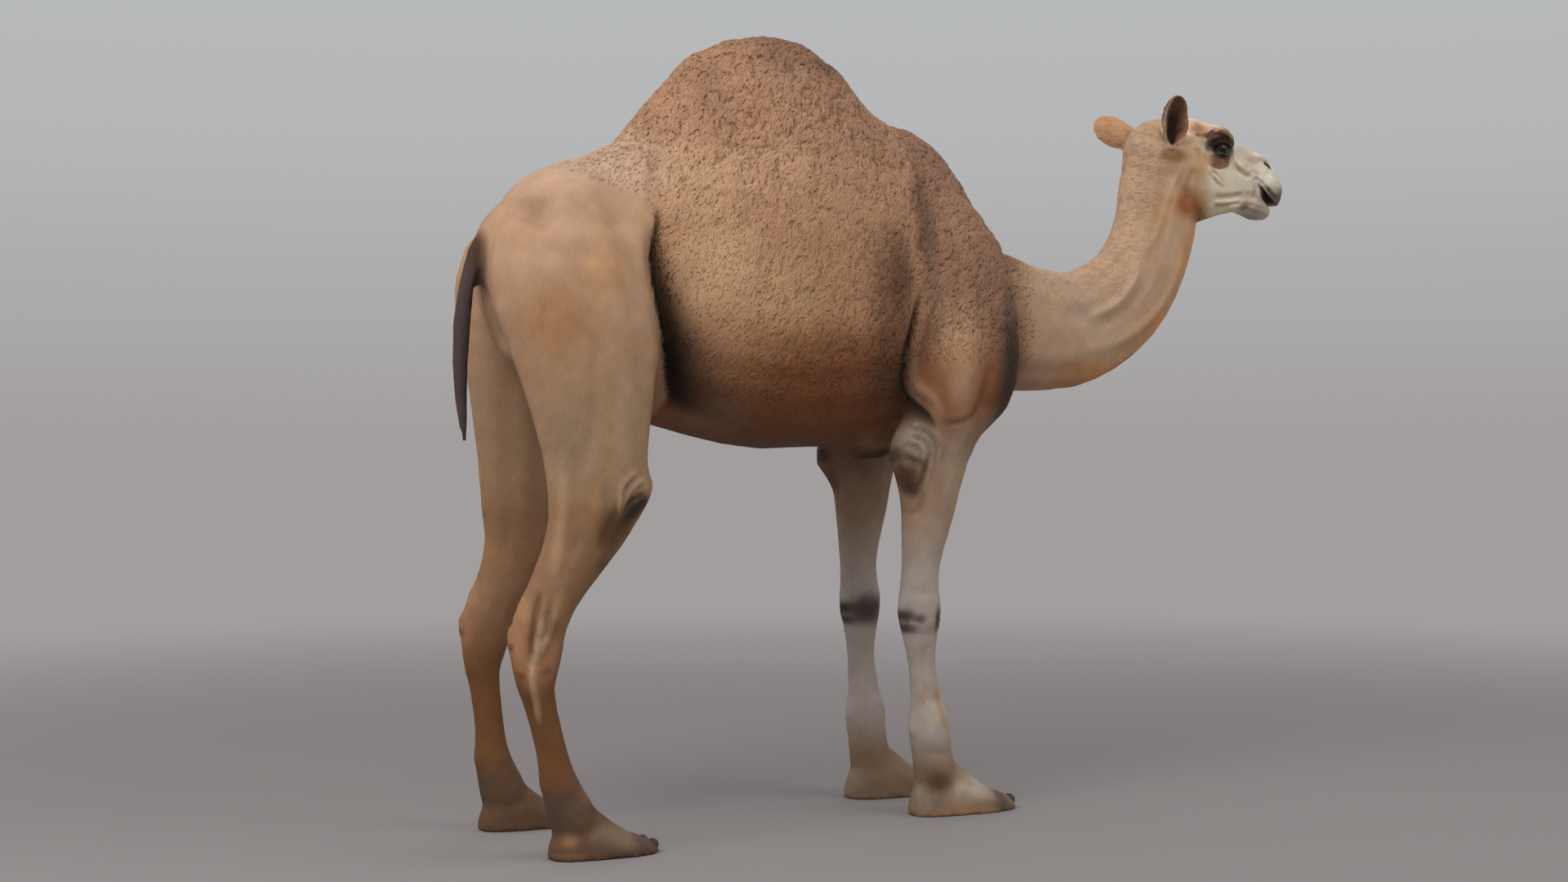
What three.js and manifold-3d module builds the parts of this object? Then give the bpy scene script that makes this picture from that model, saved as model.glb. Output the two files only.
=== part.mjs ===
// A dromedary camel standing at rest, life size. Units are millimetres, +X is the way it faces,
// +Y is its left side and +Z is up. The flesh is lofted as trunk, neck, head, tail, ears, legs and
// feet, joined into one body, then parted by thin cuts into the parts a person would name.
import * as THREE from "three";
import { mergeVertices } from "three/addons/utils/BufferGeometryUtils.js";
import Module from "manifold-3d";

const wasm = await Module();
wasm.setup();

// ---------------------------------------------------------------- driving sizes, mm
const GAP = 0.3; // the thin cut between neighbouring parts
const HUMP_RISE = 277; // top of the hump above the line of the back
const HUMP_HALF = 186; // sideways spread of the hump
const LEG_SEGMENTS = 10;
const EYE = { at: [1676, 78, 1943], r: 25 }; // eyeball, left side; the right is its mirror
const EAR = { base: [1471, 88, 1955], length: 156 };
const FORE_FOOT = { heel: 452, length: 338, half: 84, height: 150, y: 170 };
const HIND_FOOT = { heel: -682, length: 294, half: 77, height: 128, y: 236 };
const FOOT_CUT = 165; // height of the cut between a leg and its foot

// ---------------------------------------------------------------- stations
// Trunk: x, line of the back (without the hump), line of the belly, half width, height of the
// widest place, how square the upper half is (1 round, less is squarer).
const TRUNK = [
  [-768, 1580, 1470, 52, 1525, 1],
  [-742, 1622, 1350, 112, 1500, 1],
  [-692, 1665, 1250, 158, 1490, 1],
  [-622, 1731, 1195, 196, 1490, 0.98],
  [-550, 1769, 1160, 218, 1490, 0.95],
  [-460, 1797, 1125, 232, 1475, 0.95],
  [-370, 1812, 1096, 250, 1440, 0.95],
  [-270, 1830, 1078, 282, 1400, 0.95],
  [-165, 1849, 1052, 308, 1370, 0.95],
  [-50, 1868, 1028, 324, 1350, 0.95],
  [65, 1885, 1015, 326, 1350, 0.95],
  [180, 1901, 1019, 314, 1360, 0.97],
  [290, 1917, 1028, 290, 1385, 1],
  [390, 1929, 1034, 262, 1405, 1],
  [470, 1938, 1040, 246, 1415, 1.05],
  [545, 1935, 1050, 236, 1420, 1.08],
  [615, 1898, 1066, 226, 1420, 1.05],
  [690, 1811, 1092, 206, 1415, 1],
  [755, 1703, 1126, 178, 1405, 1],
  [806, 1608, 1170, 141, 1390, 1],
  [846, 1535, 1240, 92, 1385, 1],
];
// The hump: x, share of HUMP_RISE.
const HUMP = [
  [-465, 0], [-408, 0.04], [-360, 0.14], [-303, 0.36], [-229, 0.655], [-153, 0.87], [-76, 0.965],
  [25, 1], [115, 0.985], [185, 0.915], [249, 0.765], [328, 0.48], [380, 0.23], [430, 0.07],
  [485, 0.015], [540, 0],
];
// Neck: along, centre x, centre z, half depth in the ring's plane, half width.
const NECK = [
  [0, 650, 1440, 240, 155],
  [1, 770, 1405, 224, 148],
  [2, 890, 1387, 208, 132],
  [3, 1015, 1371, 190, 118],
  [4, 1128, 1374, 181, 108],
  [5, 1240, 1408, 173, 101],
  [6, 1346, 1474, 165, 96],
  [7, 1421, 1563, 157, 92],
  [8, 1468, 1661, 152, 89],
  [9, 1489, 1752, 152, 86],
  [10, 1487, 1848, 134, 84],
  [11, 1500, 1915, 96, 70],
];
// Head: x, top, bottom, half width, height of the widest place, squareness of the upper half.
const HEAD = [
  [1370, 1938, 1896, 15, 1917, 1],
  [1378, 1968, 1864, 38, 1915, 1],
  [1400, 1998, 1822, 63, 1910, 1],
  [1440, 2027, 1776, 82, 1905, 1],
  [1500, 2042, 1738, 92, 1905, 0.95],
  [1560, 2049, 1722, 95, 1905, 0.9],
  [1620, 2045, 1714, 94, 1900, 0.85],
  [1680, 2028, 1730, 88, 1890, 0.85],
  [1735, 2009, 1748, 76, 1880, 0.85],
  [1792, 1992, 1764, 65, 1875, 0.85],
  [1850, 1971, 1782, 58, 1868, 0.85],
  [1898, 1955, 1790, 58, 1862, 0.85],
  [1938, 1925, 1782, 56, 1852, 0.9],
  [1967, 1884, 1780, 46, 1840, 1],
  [1983, 1848, 1790, 27, 1822, 1],
];
// Lower jaw and lip: x, top, bottom, half width, height of the widest place, squareness.
const JAW = [
  [1700, 1812, 1754, 40, 1785, 1],
  [1750, 1820, 1752, 51, 1786, 1],
  [1800, 1828, 1763, 48, 1792, 1],
  [1850, 1838, 1761, 47, 1792, 1],
  [1895, 1826, 1749, 47, 1782, 1],
  [1922, 1802, 1748, 42, 1775, 1],
  [1938, 1786, 1757, 26, 1771, 1],
];
// Legs, from the top down: z, centre x, half length fore and aft, centre y, half width.
const FORE_LEG = [
  [1790, 575, 56, 84, 34],
  [1700, 592, 104, 132, 72],
  [1600, 612, 142, 168, 88],
  [1500, 620, 160, 184, 96],
  [1400, 624, 172, 195, 100],
  [1300, 623, 173, 200, 102],
  [1210, 612, 172, 200, 98],
  [1130, 586, 171, 194, 90],
  [1050, 526, 145, 184, 78],
  [980, 511, 124, 178, 70],
  [905, 509, 99, 174, 68],
  [850, 507, 87, 172, 63],
  [735, 489, 64, 170, 56],
  [680, 481, 57, 170, 53],
  [634, 478, 59, 170, 55],
  [590, 478, 65, 170, 59],
  [545, 477, 63, 170, 58],
  [452, 483, 45, 170, 42],
  [406, 488, 41, 170, 39],
  [315, 503, 49, 170, 44],
  [271, 510, 61, 170, 56],
  [225, 512, 64, 170, 59],
  [155, 523, 59, 170, 59],
  [85, 543, 70, 170, 64],
  [45, 551, 74, 170, 60],
];
const HIND_LEG = [
  [1715, -575, 60, 78, 36],
  [1640, -590, 158, 130, 82],
  [1550, -606, 196, 165, 112],
  [1460, -612, 208, 186, 126],
  [1360, -594, 214, 198, 130],
  [1260, -574, 202, 206, 128],
  [1170, -562, 184, 214, 120],
  [1085, -557, 164, 222, 108],
  [1000, -554, 146, 229, 96],
  [920, -550, 139, 233, 86],
  [850, -558, 129, 235, 77],
  [780, -590, 113, 236, 67],
  [715, -631, 98, 236, 59],
  [665, -664, 86, 236, 54],
  [615, -695, 80, 236, 52],
  [565, -714, 76, 236, 50],
  [515, -719, 73, 236, 48],
  [470, -720, 62, 236, 46],
  [430, -720, 51, 236, 43],
  [385, -708, 44, 236, 42],
  [330, -693, 42, 236, 41],
  [275, -678, 42, 236, 42],
  [230, -667, 46, 236, 45],
  [190, -654, 53, 236, 51],
  [95, -614, 70, 236, 62],
  [50, -598, 72, 236, 56],
];
// How far the left leg stands ahead of the right one: height, distance.
const FORE_STEP = [[0, 8], [200, 10], [560, 26], [760, 8], [950, 0], [1800, 0]];
const HIND_STEP = [[0, 16], [150, 24], [350, 52], [470, 66], [560, 72], [660, 72], [760, 56],
  [880, 20], [1000, 22], [1250, 46], [1450, 62], [1800, 50]];
// Foot: share of its length, share of its height, share of its half width.
const FOOT = [
  [0, 0.16, 0.2], [0.03, 0.4, 0.44], [0.1, 0.7, 0.66], [0.24, 0.95, 0.85], [0.4, 0.98, 0.95],
  [0.55, 0.7, 1.02], [0.72, 0.45, 1.03], [0.87, 0.33, 0.9], [0.955, 0.24, 0.66], [0.99, 0.13, 0.42],
];
// Tail: along, centre x, centre z, radius.
const TAIL = [
  [0, -690, 1598, 34], [1, -735, 1575, 33], [2, -772, 1520, 30], [3, -798, 1440, 27],
  [4, -816, 1340, 25], [5, -821, 1240, 22], [6, -819, 1150, 18], [7, -813, 1080, 12],
  [8, -808, 1038, 6],
];
// Ear: share of its length, width, depth of the cup, thickness of the shell.
const EAR_ROWS = [
  [0, 50, 16, 16], [0.2, 64, 22, 13], [0.36, 80, 26, 10], [0.54, 88, 25, 8], [0.7, 84, 19, 7],
  [0.85, 68, 12, 6], [0.95, 44, 6, 5], [1, 20, 2, 4],
];

// ---------------------------------------------------------------- helpers
// Values of a table of rows at a key, eased between rows without overshooting them.
function rowAt(rows, key) {
  const last = rows.length - 1;
  let i = 0;
  while (i < last - 1 && key > rows[i + 1][0]) i += 1;
  const slope = (k, c) => (rows[k + 1][c] - rows[k][c]) / (rows[k + 1][0] - rows[k][0]);
  const tangent = (k, c) => {
    if (k === 0) return slope(0, c);
    if (k === last) return slope(last - 1, c);
    const [a, b] = [slope(k - 1, c), slope(k, c)];
    return a * b <= 0 ? 0 : (2 * a * b) / (a + b);
  };
  const width = rows[i + 1][0] - rows[i][0];
  const t = THREE.MathUtils.clamp((key - rows[i][0]) / width, 0, 1);
  return rows[i].map((v, c) => {
    if (c === 0) return key;
    const w = rows[i + 1][c];
    const h = t * t * (3 - 2 * t);
    const m0 = tangent(i, c) * width;
    const m1 = tangent(i + 1, c) * width;
    return v + (w - v) * h + m0 * t * (1 - t) ** 2 - m1 * t * t * (1 - t);
  });
}

// Every row, and `between` eased rows between each pair.
function refine(rows, between) {
  const out = [];
  rows.forEach((row, i) => {
    out.push(row);
    if (i === rows.length - 1) return;
    for (let k = 1; k <= between; k += 1) {
      const t = k / (between + 1);
      out.push(rowAt(rows, row[0] + (rows[i + 1][0] - row[0]) * t));
    }
  });
  return out;
}

// A closed body through rings of equal length, with a fan over each end.
function loft(rings) {
  const n = rings[0].length;
  const points = rings.flat();
  const middle = (ring) => ring.reduce((s, p) => s.add(p), new THREE.Vector3()).divideScalar(n);
  points.push(middle(rings[0]), middle(rings[rings.length - 1]));
  const [first, end] = [points.length - 2, points.length - 1];
  const index = [];
  for (let i = 0; i < rings.length - 1; i += 1) {
    for (let j = 0; j < n; j += 1) {
      const [a, b] = [i * n + j, i * n + ((j + 1) % n)];
      index.push(a, b, b + n, a, b + n, a + n);
    }
  }
  const base = (rings.length - 1) * n;
  for (let j = 0; j < n; j += 1) {
    index.push(first, (j + 1) % n, j, end, base + j, base + ((j + 1) % n));
  }
  const geometry = new THREE.BufferGeometry().setFromPoints(points);
  geometry.setIndex(index);
  return geometry;
}

// A ring across the body at x: round below, more or less square above, with its points closer
// together towards the top.
function bodyRing([x, top, bottom, half, wide, square], segments) {
  return Array.from({ length: segments }, (_, j) => {
    const turn = (j / segments) * Math.PI * 2;
    const u = turn - 0.2 * Math.sin(turn);
    const [c, s] = [Math.cos(u), Math.sin(u)];
    const power = c > 0 ? square : 1;
    const y = half * Math.sign(s) * Math.abs(s) ** power;
    const z = wide + (c > 0 ? (top - wide) * c ** power : (wide - bottom) * c);
    return new THREE.Vector3(x, y, z);
  });
}

// A soft swelling (or hollow) of a surface: points near `at` are moved by `push`.
const swell = (at, size, push) => ({ at, size, push });
function shape(geometry, swellings) {
  const p = geometry.attributes.position;
  for (let i = 0; i < p.count; i += 1) {
    const v = new THREE.Vector3().fromBufferAttribute(p, i);
    const move = new THREE.Vector3();
    for (const { at, size, push } of swellings) {
      const q = ((v.x - at[0]) / size[0]) ** 2 + ((v.y - at[1]) / size[1]) ** 2
        + ((v.z - at[2]) / size[2]) ** 2;
      move.addScaledVector(new THREE.Vector3(...push), Math.exp(-q));
    }
    p.setXYZ(i, v.x + move.x, v.y + move.y, v.z + move.z);
  }
  return geometry;
}
// The same swelling on both sides of the body.
const both = (at, size, push) =>
  [1, -1].map((s) => swell([at[0], s * at[1], at[2]], size, [push[0], s * push[1], push[2]]));

// A manifold solid from a three.js geometry, turned outward if it is inside out.
function solid(geometry) {
  const bare = geometry.clone();
  bare.deleteAttribute("normal");
  bare.deleteAttribute("uv");
  const merged = mergeVertices(bare, 1e-3);
  const vertProperties = Float32Array.from(merged.attributes.position.array);
  const triVerts = Uint32Array.from(merged.index.array);
  let volume = 0;
  const at = (k) => new THREE.Vector3().fromArray(vertProperties, 3 * k);
  for (let t = 0; t < triVerts.length; t += 3) {
    volume += at(triVerts[t]).dot(at(triVerts[t + 1]).cross(at(triVerts[t + 2])));
  }
  if (volume < 0) triVerts.reverse();
  return new wasm.Manifold(new wasm.Mesh({ numProp: 3, vertProperties, triVerts }));
}
const join = (solids) => solids.reduce((a, b) => a.add(b));

// A straight prism of a side-view outline [x, z], between two y values, grown all round by `out`.
function prism(outline, y0, y1, out = 0) {
  const points = outline.map(([x, z]) => new THREE.Vector2(x, z));
  const turn = THREE.ShapeUtils.isClockWise(points) ? -1 : 1;
  const grown = points.map((p, i) => {
    const before = points[(i + points.length - 1) % points.length];
    const after = points[(i + 1) % points.length];
    const side = (a, b) => new THREE.Vector2(b.y - a.y, a.x - b.x).normalize().multiplyScalar(turn);
    const [n0, n1] = [side(before, p), side(p, after)];
    const corner = n0.clone().add(n1);
    return p.clone().addScaledVector(corner, out / Math.max(0.3, corner.dot(n0)));
  });
  const depth = y1 - y0 + 2 * out;
  const geometry = new THREE.ExtrudeGeometry(new THREE.Shape(grown), {
    depth, steps: 1, bevelEnabled: false,
  });
  geometry.rotateX(Math.PI / 2).translate(0, y1 + out, 0);
  return solid(geometry);
}

// ---------------------------------------------------------------- trunk, neck and tail
function trunk() {
  const segments = 24;
  const rings = TRUNK.map((row) => bodyRing(row, segments).map((p) => {
    const rise = HUMP_RISE * rowAt(HUMP, THREE.MathUtils.clamp(p.x, -465, 540))[1];
    const over = THREE.MathUtils.smoothstep(p.z, row[4], row[1]);
    p.z += rise * over * Math.exp(-(Math.abs(p.y / HUMP_HALF) ** 2.4));
    return p;
  }));
  return solid(shape(loft(rings), [
    swell([430, 0, 1030], [95, 120, 60], [0, 0, -62]), // the callus under the breast
    ...both([-400, 190, 1120], [90, 90, 120], [0, -40, 30]), // flank drawn in ahead of the thigh
    ...both([-640, 70, 1700], [80, 60, 60], [0, 10, 12]), // point of the hip
    ...both([800, 90, 1230], [70, 70, 90], [22, 14, -8]), // breast muscles
    swell([820, 0, 1230], [60, 30, 100], [-14, 0, 0]), // groove between them
  ]));
}

function tube(rows, segments, profile) {
  const at = rows.map(([, x, z]) => new THREE.Vector3(x, 0, z));
  const side = new THREE.Vector3(0, 1, 0);
  return rows.map((row, i) => {
    const ahead = at[Math.min(i + 1, at.length - 1)];
    const along = ahead.clone().sub(at[Math.max(i - 1, 0)]).normalize();
    const up = new THREE.Vector3().crossVectors(along, side).normalize();
    const [deep, half] = profile(row);
    return Array.from({ length: segments }, (_, j) => {
      const u = (j / segments) * Math.PI * 2;
      return at[i].clone().addScaledVector(up, deep * Math.cos(u))
        .addScaledVector(side, half * Math.sin(u));
    });
  });
}

function neck() {
  const rings = tube(refine(NECK, 1), 12, ([, , , deep, half]) => [deep, half]);
  return solid(shape(loft(rings), [
    ...both([1010, 110, 1290], [150, 60, 60], [0, 8, 0]), // windpipe side of the neck
    ...both([1150, 100, 1400], [160, 60, 60], [0, -8, 0]), // hollow above it
  ]));
}

const tail = () => solid(loft(tube(TAIL, 8, ([, , , r]) => [r, r])));

// ---------------------------------------------------------------- head
function head() {
  const rows = [...HEAD.slice(0, 4), ...refine(HEAD.slice(4), 1)];
  const upper = shape(loft(rows.map((row) => bodyRing(row, 20))), [
    ...both([1698, 78, 2004], [44, 32, 34], [16, 22, 38]), // brow over the eye
    ...both([1600, 84, 1990], [40, 26, 30], [0, 4, 6]), // its root behind
    ...both([1640, 86, 1905], [70, 30, 26], [0, 15, 0]), // cheekbone under the eye
    ...both([1540, 88, 1900], [60, 34, 40], [0, 4, 0]),
    ...both([1590, 82, 1790], [70, 40, 60], [0, 6, -4]), // jowl
    ...both([1735, 70, 1850], [60, 30, 40], [0, -6, 0]), // hollow of the cheek
    ...both([1925, 44, 1935], [30, 18, 20], [0, 9, 4]), // rim of the nostril
    ...both([1925, 50, 1835], [44, 26, 34], [4, 7, 0]), // fleshy upper lip
    swell([1985, 0, 1840], [30, 9, 60], [-10, 0, 0]), // split of the upper lip
    swell([1800, 0, 1985], [90, 34, 30], [0, 0, -5]), // dished bridge of the nose
    swell([1660, 0, 2005], [70, 34, 30], [0, 0, -7]),
  ]);
  const lower = shape(loft(JAW.map((row) => bodyRing(row, 14))), [
    swell([1900, 0, 1750], [44, 40, 26], [8, 0, -6]), // hanging lower lip
  ]);
  return solid(upper).add(solid(lower));
}

// The open mouth: a steep wedge between the overhanging upper lip and the lower lip.
const mouth = () => prism([[1852, 1868], [1868, 1864], [1950, 1797], [2000, 1786], [2000, 1700],
  [1946, 1700], [1940, 1768], [1916, 1788]], -90, 90);

// A nostril slit, deeper ahead, on one side.
function nostril(side) {
  const slit = new THREE.SphereGeometry(1, 10, 6).scale(25, 12, 6);
  slit.rotateY(0.72).rotateZ(-0.35 * side).translate(1926, side * 56, 1916);
  return solid(slit);
}

const eyeball = (side, grow = 0) => {
  const ball = new THREE.SphereGeometry(EYE.r + grow, 10, 6);
  return solid(ball.translate(EYE.at[0], side * EYE.at[1], EYE.at[2]));
};

// ---------------------------------------------------------------- ears
// The frame of an ear: root, the way it points, the way it opens, and the way across.
function earFrame(side) {
  const right = side < 0;
  const point = right ? new THREE.Vector3(-0.3, -0.52, 0.8) : new THREE.Vector3(-0.41, 0.68, 0.61);
  point.normalize();
  const open = right ? new THREE.Vector3(-0.45, -0.88, 0.1) : new THREE.Vector3(0.5, 0.86, 0);
  const across = new THREE.Vector3().crossVectors(point, open).normalize();
  open.crossVectors(across, point).normalize();
  return { root: new THREE.Vector3(EAR.base[0], side * EAR.base[1], EAR.base[2]), point, open, across };
}
function ear(side) {
  const { root, point, open, across } = earFrame(side);
  const spread = side > 0 ? 1.14 : 0.96; // the left ear is opened wider
  const steps = 5;
  const rings = EAR_ROWS.map(([t, width, cup, thick]) => {
    const place = (a, deep) => root.clone().addScaledVector(point, t * EAR.length)
      .addScaledVector(across, (width / 2) * spread * a)
      .addScaledVector(open, -deep);
    const back = [];
    const face = [];
    for (let k = 0; k <= steps; k += 1) {
      const a = -1 + (2 * k) / steps;
      const bow = 1 - a * a;
      back.push(place(a, cup * bow + thick * 0.5));
      if (k > 0 && k < steps) face.unshift(place(a * 0.9, cup * bow - thick * 0.5));
    }
    return [...back, ...face];
  });
  return solid(loft(rings));
}
// The block that takes the ear off the head just clear of the skull.
function earRegion(side, out = 0) {
  const { root, point, open, across } = earFrame(side);
  const size = 200;
  const box = new THREE.BoxGeometry(size + 2 * out, 110 + 2 * out, size + 2 * out);
  const place = new THREE.Matrix4().makeBasis(across, open, point);
  place.setPosition(root.clone().addScaledVector(point, size / 2 + 34));
  return solid(box.applyMatrix4(place));
}

// ---------------------------------------------------------------- legs and feet
function leg(rows, side, step, bumps) {
  const rings = rows.map(([z, x, long, y, half]) => {
    const ahead = side > 0 ? step(z) : 0;
    return Array.from({ length: LEG_SEGMENTS }, (_, j) => {
      const u = (j / LEG_SEGMENTS) * Math.PI * 2;
      return new THREE.Vector3(x + ahead + long * Math.cos(u), side * (y + half * Math.sin(u)), z);
    });
  });
  const moved = bumps.map(({ at: [x, y, z], size, push }) =>
    swell([x + (side > 0 ? step(z) : 0), side * y, z], size, [push[0], side * push[1], push[2]]));
  return solid(shape(loft(rings), moved));
}
const foreStep = (z) => rowAt(FORE_STEP, z)[1];
const hindStep = (z) => rowAt(HIND_STEP, z)[1];
const FORE_BUMPS = [
  swell([375, 215, 1010], [60, 70, 60], [-26, 14, -6]), // callus of the elbow
  swell([470, 190, 1230], [50, 90, 90], [16, 0, 0]), // armpit behind the shoulder
  swell([790, 175, 1240], [70, 80, 90], [8, 4, -8]), // point of the shoulder
];
const HIND_BUMPS = [
  swell([-418, 245, 930], [50, 70, 60], [16, 4, 0]), // callus of the stifle
  swell([-790, 236, 575], [30, 40, 34], [-7, 0, 0]), // point of the hock
  swell([-760, 200, 1400], [60, 90, 110], [-10, 0, 0]), // point of the buttock
];

function foot({ heel, length, half, height, y }, side, ahead) {
  const arch = 8; // steps over the top of the foot, an even number
  const rings = FOOT.map(([t, h, w]) => {
    const cleft = THREE.MathUtils.smoothstep(t, 0.62, 1);
    const ring = Array.from({ length: arch + 1 }, (_, k) => {
      const u = (k / arch) * Math.PI;
      const middle = k === arch / 2 ? 1 : 0;
      const flare = k === 0 || k === arch ? 0.93 : 1;
      return new THREE.Vector3(
        heel + ahead + length * t - 16 * middle * cleft * cleft,
        side * (y + half * w * flare * Math.cos(u)),
        height * h * Math.sin(u) ** 0.8 * (1 - 0.3 * middle * cleft),
      );
    });
    return ring;
  });
  return solid(loft(rings));
}
// One toenail: a horny cap on the end of a toe.
function toenail({ heel, length, half, height, y }, side, ahead, toe, out = 0) {
  const cap = new THREE.SphereGeometry(1, 6, 5).rotateX(Math.PI / 2);
  cap.scale(length * 0.062 + out, half * 0.24 + out, height * 0.13 + out).rotateY(0.45);
  cap.rotateZ(toe * 0.25);
  cap.translate(heel + ahead + length * 0.925, side * y + toe * half * 0.37, height * 0.15);
  return solid(cap);
}

// ---------------------------------------------------------------- one body, then its parts
const SIDES = [["left", 1], ["right", -1]];
let flesh = join([
  trunk(), neck(), tail(), head(),
  ...SIDES.flatMap(([, s]) => [
    ear(s),
    leg(FORE_LEG, s, foreStep, FORE_BUMPS), foot(FORE_FOOT, s, s > 0 ? foreStep(0) : 0),
    leg(HIND_LEG, s, hindStep, HIND_BUMPS), foot(HIND_FOOT, s, s > 0 ? hindStep(0) : 0),
  ]),
]);
flesh = flesh.subtract(mouth());
for (const [, s] of SIDES) flesh = flesh.subtract(nostril(s)).subtract(eyeball(s, GAP));

const COAT = "#b98a62";
const SKINS = {
  wool: { color: "#ad7c58", roughness: 0.95, metalness: 0 },
  coat: { color: COAT, roughness: 0.9, metalness: 0 },
  face: { color: "#c7a383", roughness: 0.85, metalness: 0 },
  tail: { color: "#5d4842", roughness: 0.85, metalness: 0 },
  foot: { color: "#9a8368", roughness: 0.85, metalness: 0 },
  nail: { color: "#463b33", roughness: 0.55, metalness: 0 },
  eye: { color: "#16110f", roughness: 0.1, metalness: 0 },
};

const parts = [];
// Takes what lies in a region off the body as one part, leaving a thin cut round it.
function take(name, look, region) {
  parts.push([name, look, flesh.intersect(region(0))]);
  flesh = flesh.subtract(region(GAP));
}
for (const [name, s] of SIDES) take(`ear_${name}`, "face", (out) => earRegion(s, out));
take("head", "face", (out) => prism([[1290, 1948], [1612, 1668], [2200, 1600], [2200, 2300],
  [1290, 2300]], -300, 300, out));
take("neck", "coat", (out) => prism([[905, 1700], [868, 1400], [872, 1080], [2200, 1080],
  [2200, 2300], [905, 2300]], -400, 400, out));
take("tail", "tail", (out) => prism([[-1000, 900], [-775, 900], [-775, 1480], [-738, 1525],
  [-738, 1640], [-1000, 1700]], -40, 40, out));
take("hump", "wool", (out) => prism([[-420, 1860], [470, 1975], [470, 2400], [-420, 2400]],
  -400, 400, out));
for (const [name, s] of SIDES) {
  const span = s > 0 ? [60, 600] : [-600, -60];
  const fore = s > 0 ? foreStep(0) : 0;
  const hind = s > 0 ? hindStep(0) : 0;
  for (const [end, size, ahead] of [["fore", FORE_FOOT, fore], ["hind", HIND_FOOT, hind]]) {
    for (const [which, toe] of [["outer", s], ["inner", -s]]) {
      const nail = (out) => toenail(size, s, ahead, toe, out);
      parts.push([`${end}_toenail_${name}_${which}`, "nail", nail(0)]);
      flesh = flesh.subtract(nail(GAP));
    }
    const [x0, x1] = [size.heel - 200, size.heel + size.length + 200];
    take(`${end}_foot_${name}`, "foot",
      (out) => prism([[x0, -50], [x1, -50], [x1, FOOT_CUT], [x0, FOOT_CUT]], ...span, out));
  }
  take(`fore_leg_${name}`, "coat", (out) => prism([[250, 0], [950, 0], [950, 1100], [720, 1125],
    [380, 1105], [300, 1040]], ...span, out));
  take(`hind_leg_${name}`, "coat", (out) => prism([[-1000, 0], [-250, 0], [-330, 1120],
    [-352, 1360], [-400, 1500], [-600, 1600], [-1000, 1560]], ...span, out));
}
parts.push(["trunk", "wool", flesh]);
for (const [name, s] of SIDES) parts.push([`eye_${name}`, "eye", eyeball(s)]);

// ---------------------------------------------------------------- the scene graph
// The origin is the middle of the footprint of the whole model, on the floor.
const box = new THREE.Box3();
const meshes = parts.map(([name, look, body]) => {
  const { vertProperties, triVerts } = body.getMesh();
  const geometry = new THREE.BufferGeometry();
  geometry.setAttribute("position", new THREE.BufferAttribute(vertProperties, 3));
  geometry.setIndex(new THREE.BufferAttribute(triVerts, 1));
  geometry.computeBoundingBox();
  box.union(geometry.boundingBox);
  const mesh = new THREE.Mesh(geometry, new THREE.MeshStandardMaterial(SKINS[look]));
  mesh.name = name;
  return mesh;
});
const middle = box.getCenter(new THREE.Vector3());
const group = new THREE.Group();
group.name = "dromedary_camel";
for (const mesh of meshes) {
  mesh.geometry.translate(-middle.x, -middle.y, -box.min.z);
  mesh.geometry.computeVertexNormals();
  group.add(mesh);
}

export default group;
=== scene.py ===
"""A standing one-humped camel, life size: one skin over head, body and legs, its wool and hair as
solid locks, its eyes, lashes and toenails, and a plain studio round it."""
import math

import bmesh
import bpy
from mathutils.bvhtree import BVHTree
import numpy as np
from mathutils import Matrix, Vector, noise


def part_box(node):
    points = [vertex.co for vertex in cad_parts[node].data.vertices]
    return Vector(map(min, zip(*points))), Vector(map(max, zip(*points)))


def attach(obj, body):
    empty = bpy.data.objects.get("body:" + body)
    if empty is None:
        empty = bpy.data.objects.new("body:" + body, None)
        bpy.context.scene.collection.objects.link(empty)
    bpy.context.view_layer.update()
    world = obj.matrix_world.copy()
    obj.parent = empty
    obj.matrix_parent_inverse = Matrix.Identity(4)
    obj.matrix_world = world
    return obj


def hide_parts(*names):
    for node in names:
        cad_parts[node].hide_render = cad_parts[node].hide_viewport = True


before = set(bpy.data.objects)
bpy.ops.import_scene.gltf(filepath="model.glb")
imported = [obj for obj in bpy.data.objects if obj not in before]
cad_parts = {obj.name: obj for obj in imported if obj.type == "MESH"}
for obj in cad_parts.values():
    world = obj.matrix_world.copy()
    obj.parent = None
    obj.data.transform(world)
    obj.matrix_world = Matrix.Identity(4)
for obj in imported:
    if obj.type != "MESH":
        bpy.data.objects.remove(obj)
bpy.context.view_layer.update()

bl_info = {
    "name": "Standing camel",
    "version": (1, 0, 0),
    "blender": (4, 5, 0),
    "location": "View3D > Sidebar > Camel",
    "description": "Skin, wool, hair, eyes and toenails of a life-size standing camel",
    "category": "Object",
}

# ---------------------------------------------------------------- places, in metres
# Places on the body are written from the point on the floor midway between the feet, with x ahead,
# y to the left and z up, and for the right side of the body. AHEAD carries them into the frame.
EYE_PLACE_X = 1.676
SIDES = (("right", -1), ("left", 1))
ENDS = ("fore", "hind")
FLESH = [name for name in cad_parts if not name.startswith("eye_") and "toenail" not in name]
MM = 0.001


def middle(node):
    low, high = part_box(node)
    return np.array((low + high) / 2)


AHEAD = middle("eye_right")[0] - EYE_PLACE_X
EYE_RADIUS = (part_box("eye_right")[1].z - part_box("eye_right")[0].z) / 2
# The visible eyeball and its cornea's bulge, as shares of the solid eye's radius.
EYEBALL, CORNEA = 1.08, 0.03
EYE_WIDE, EYE_UP, EYE_DOWN, EYE_SLANT = 0.0275, 0.0185, 0.0175, 0.12
# Each ear: its root, the way it points and the way its hollow faces.
EARS = {
    "right": ((1.471, -0.088, 1.955), (-0.30, -0.52, 0.80), (-0.45, -0.88, 0.10)),
    "left": ((1.471, 0.088, 1.955), (-0.41, 0.68, 0.61), (0.50, 0.86, 0.0)),
}
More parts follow.
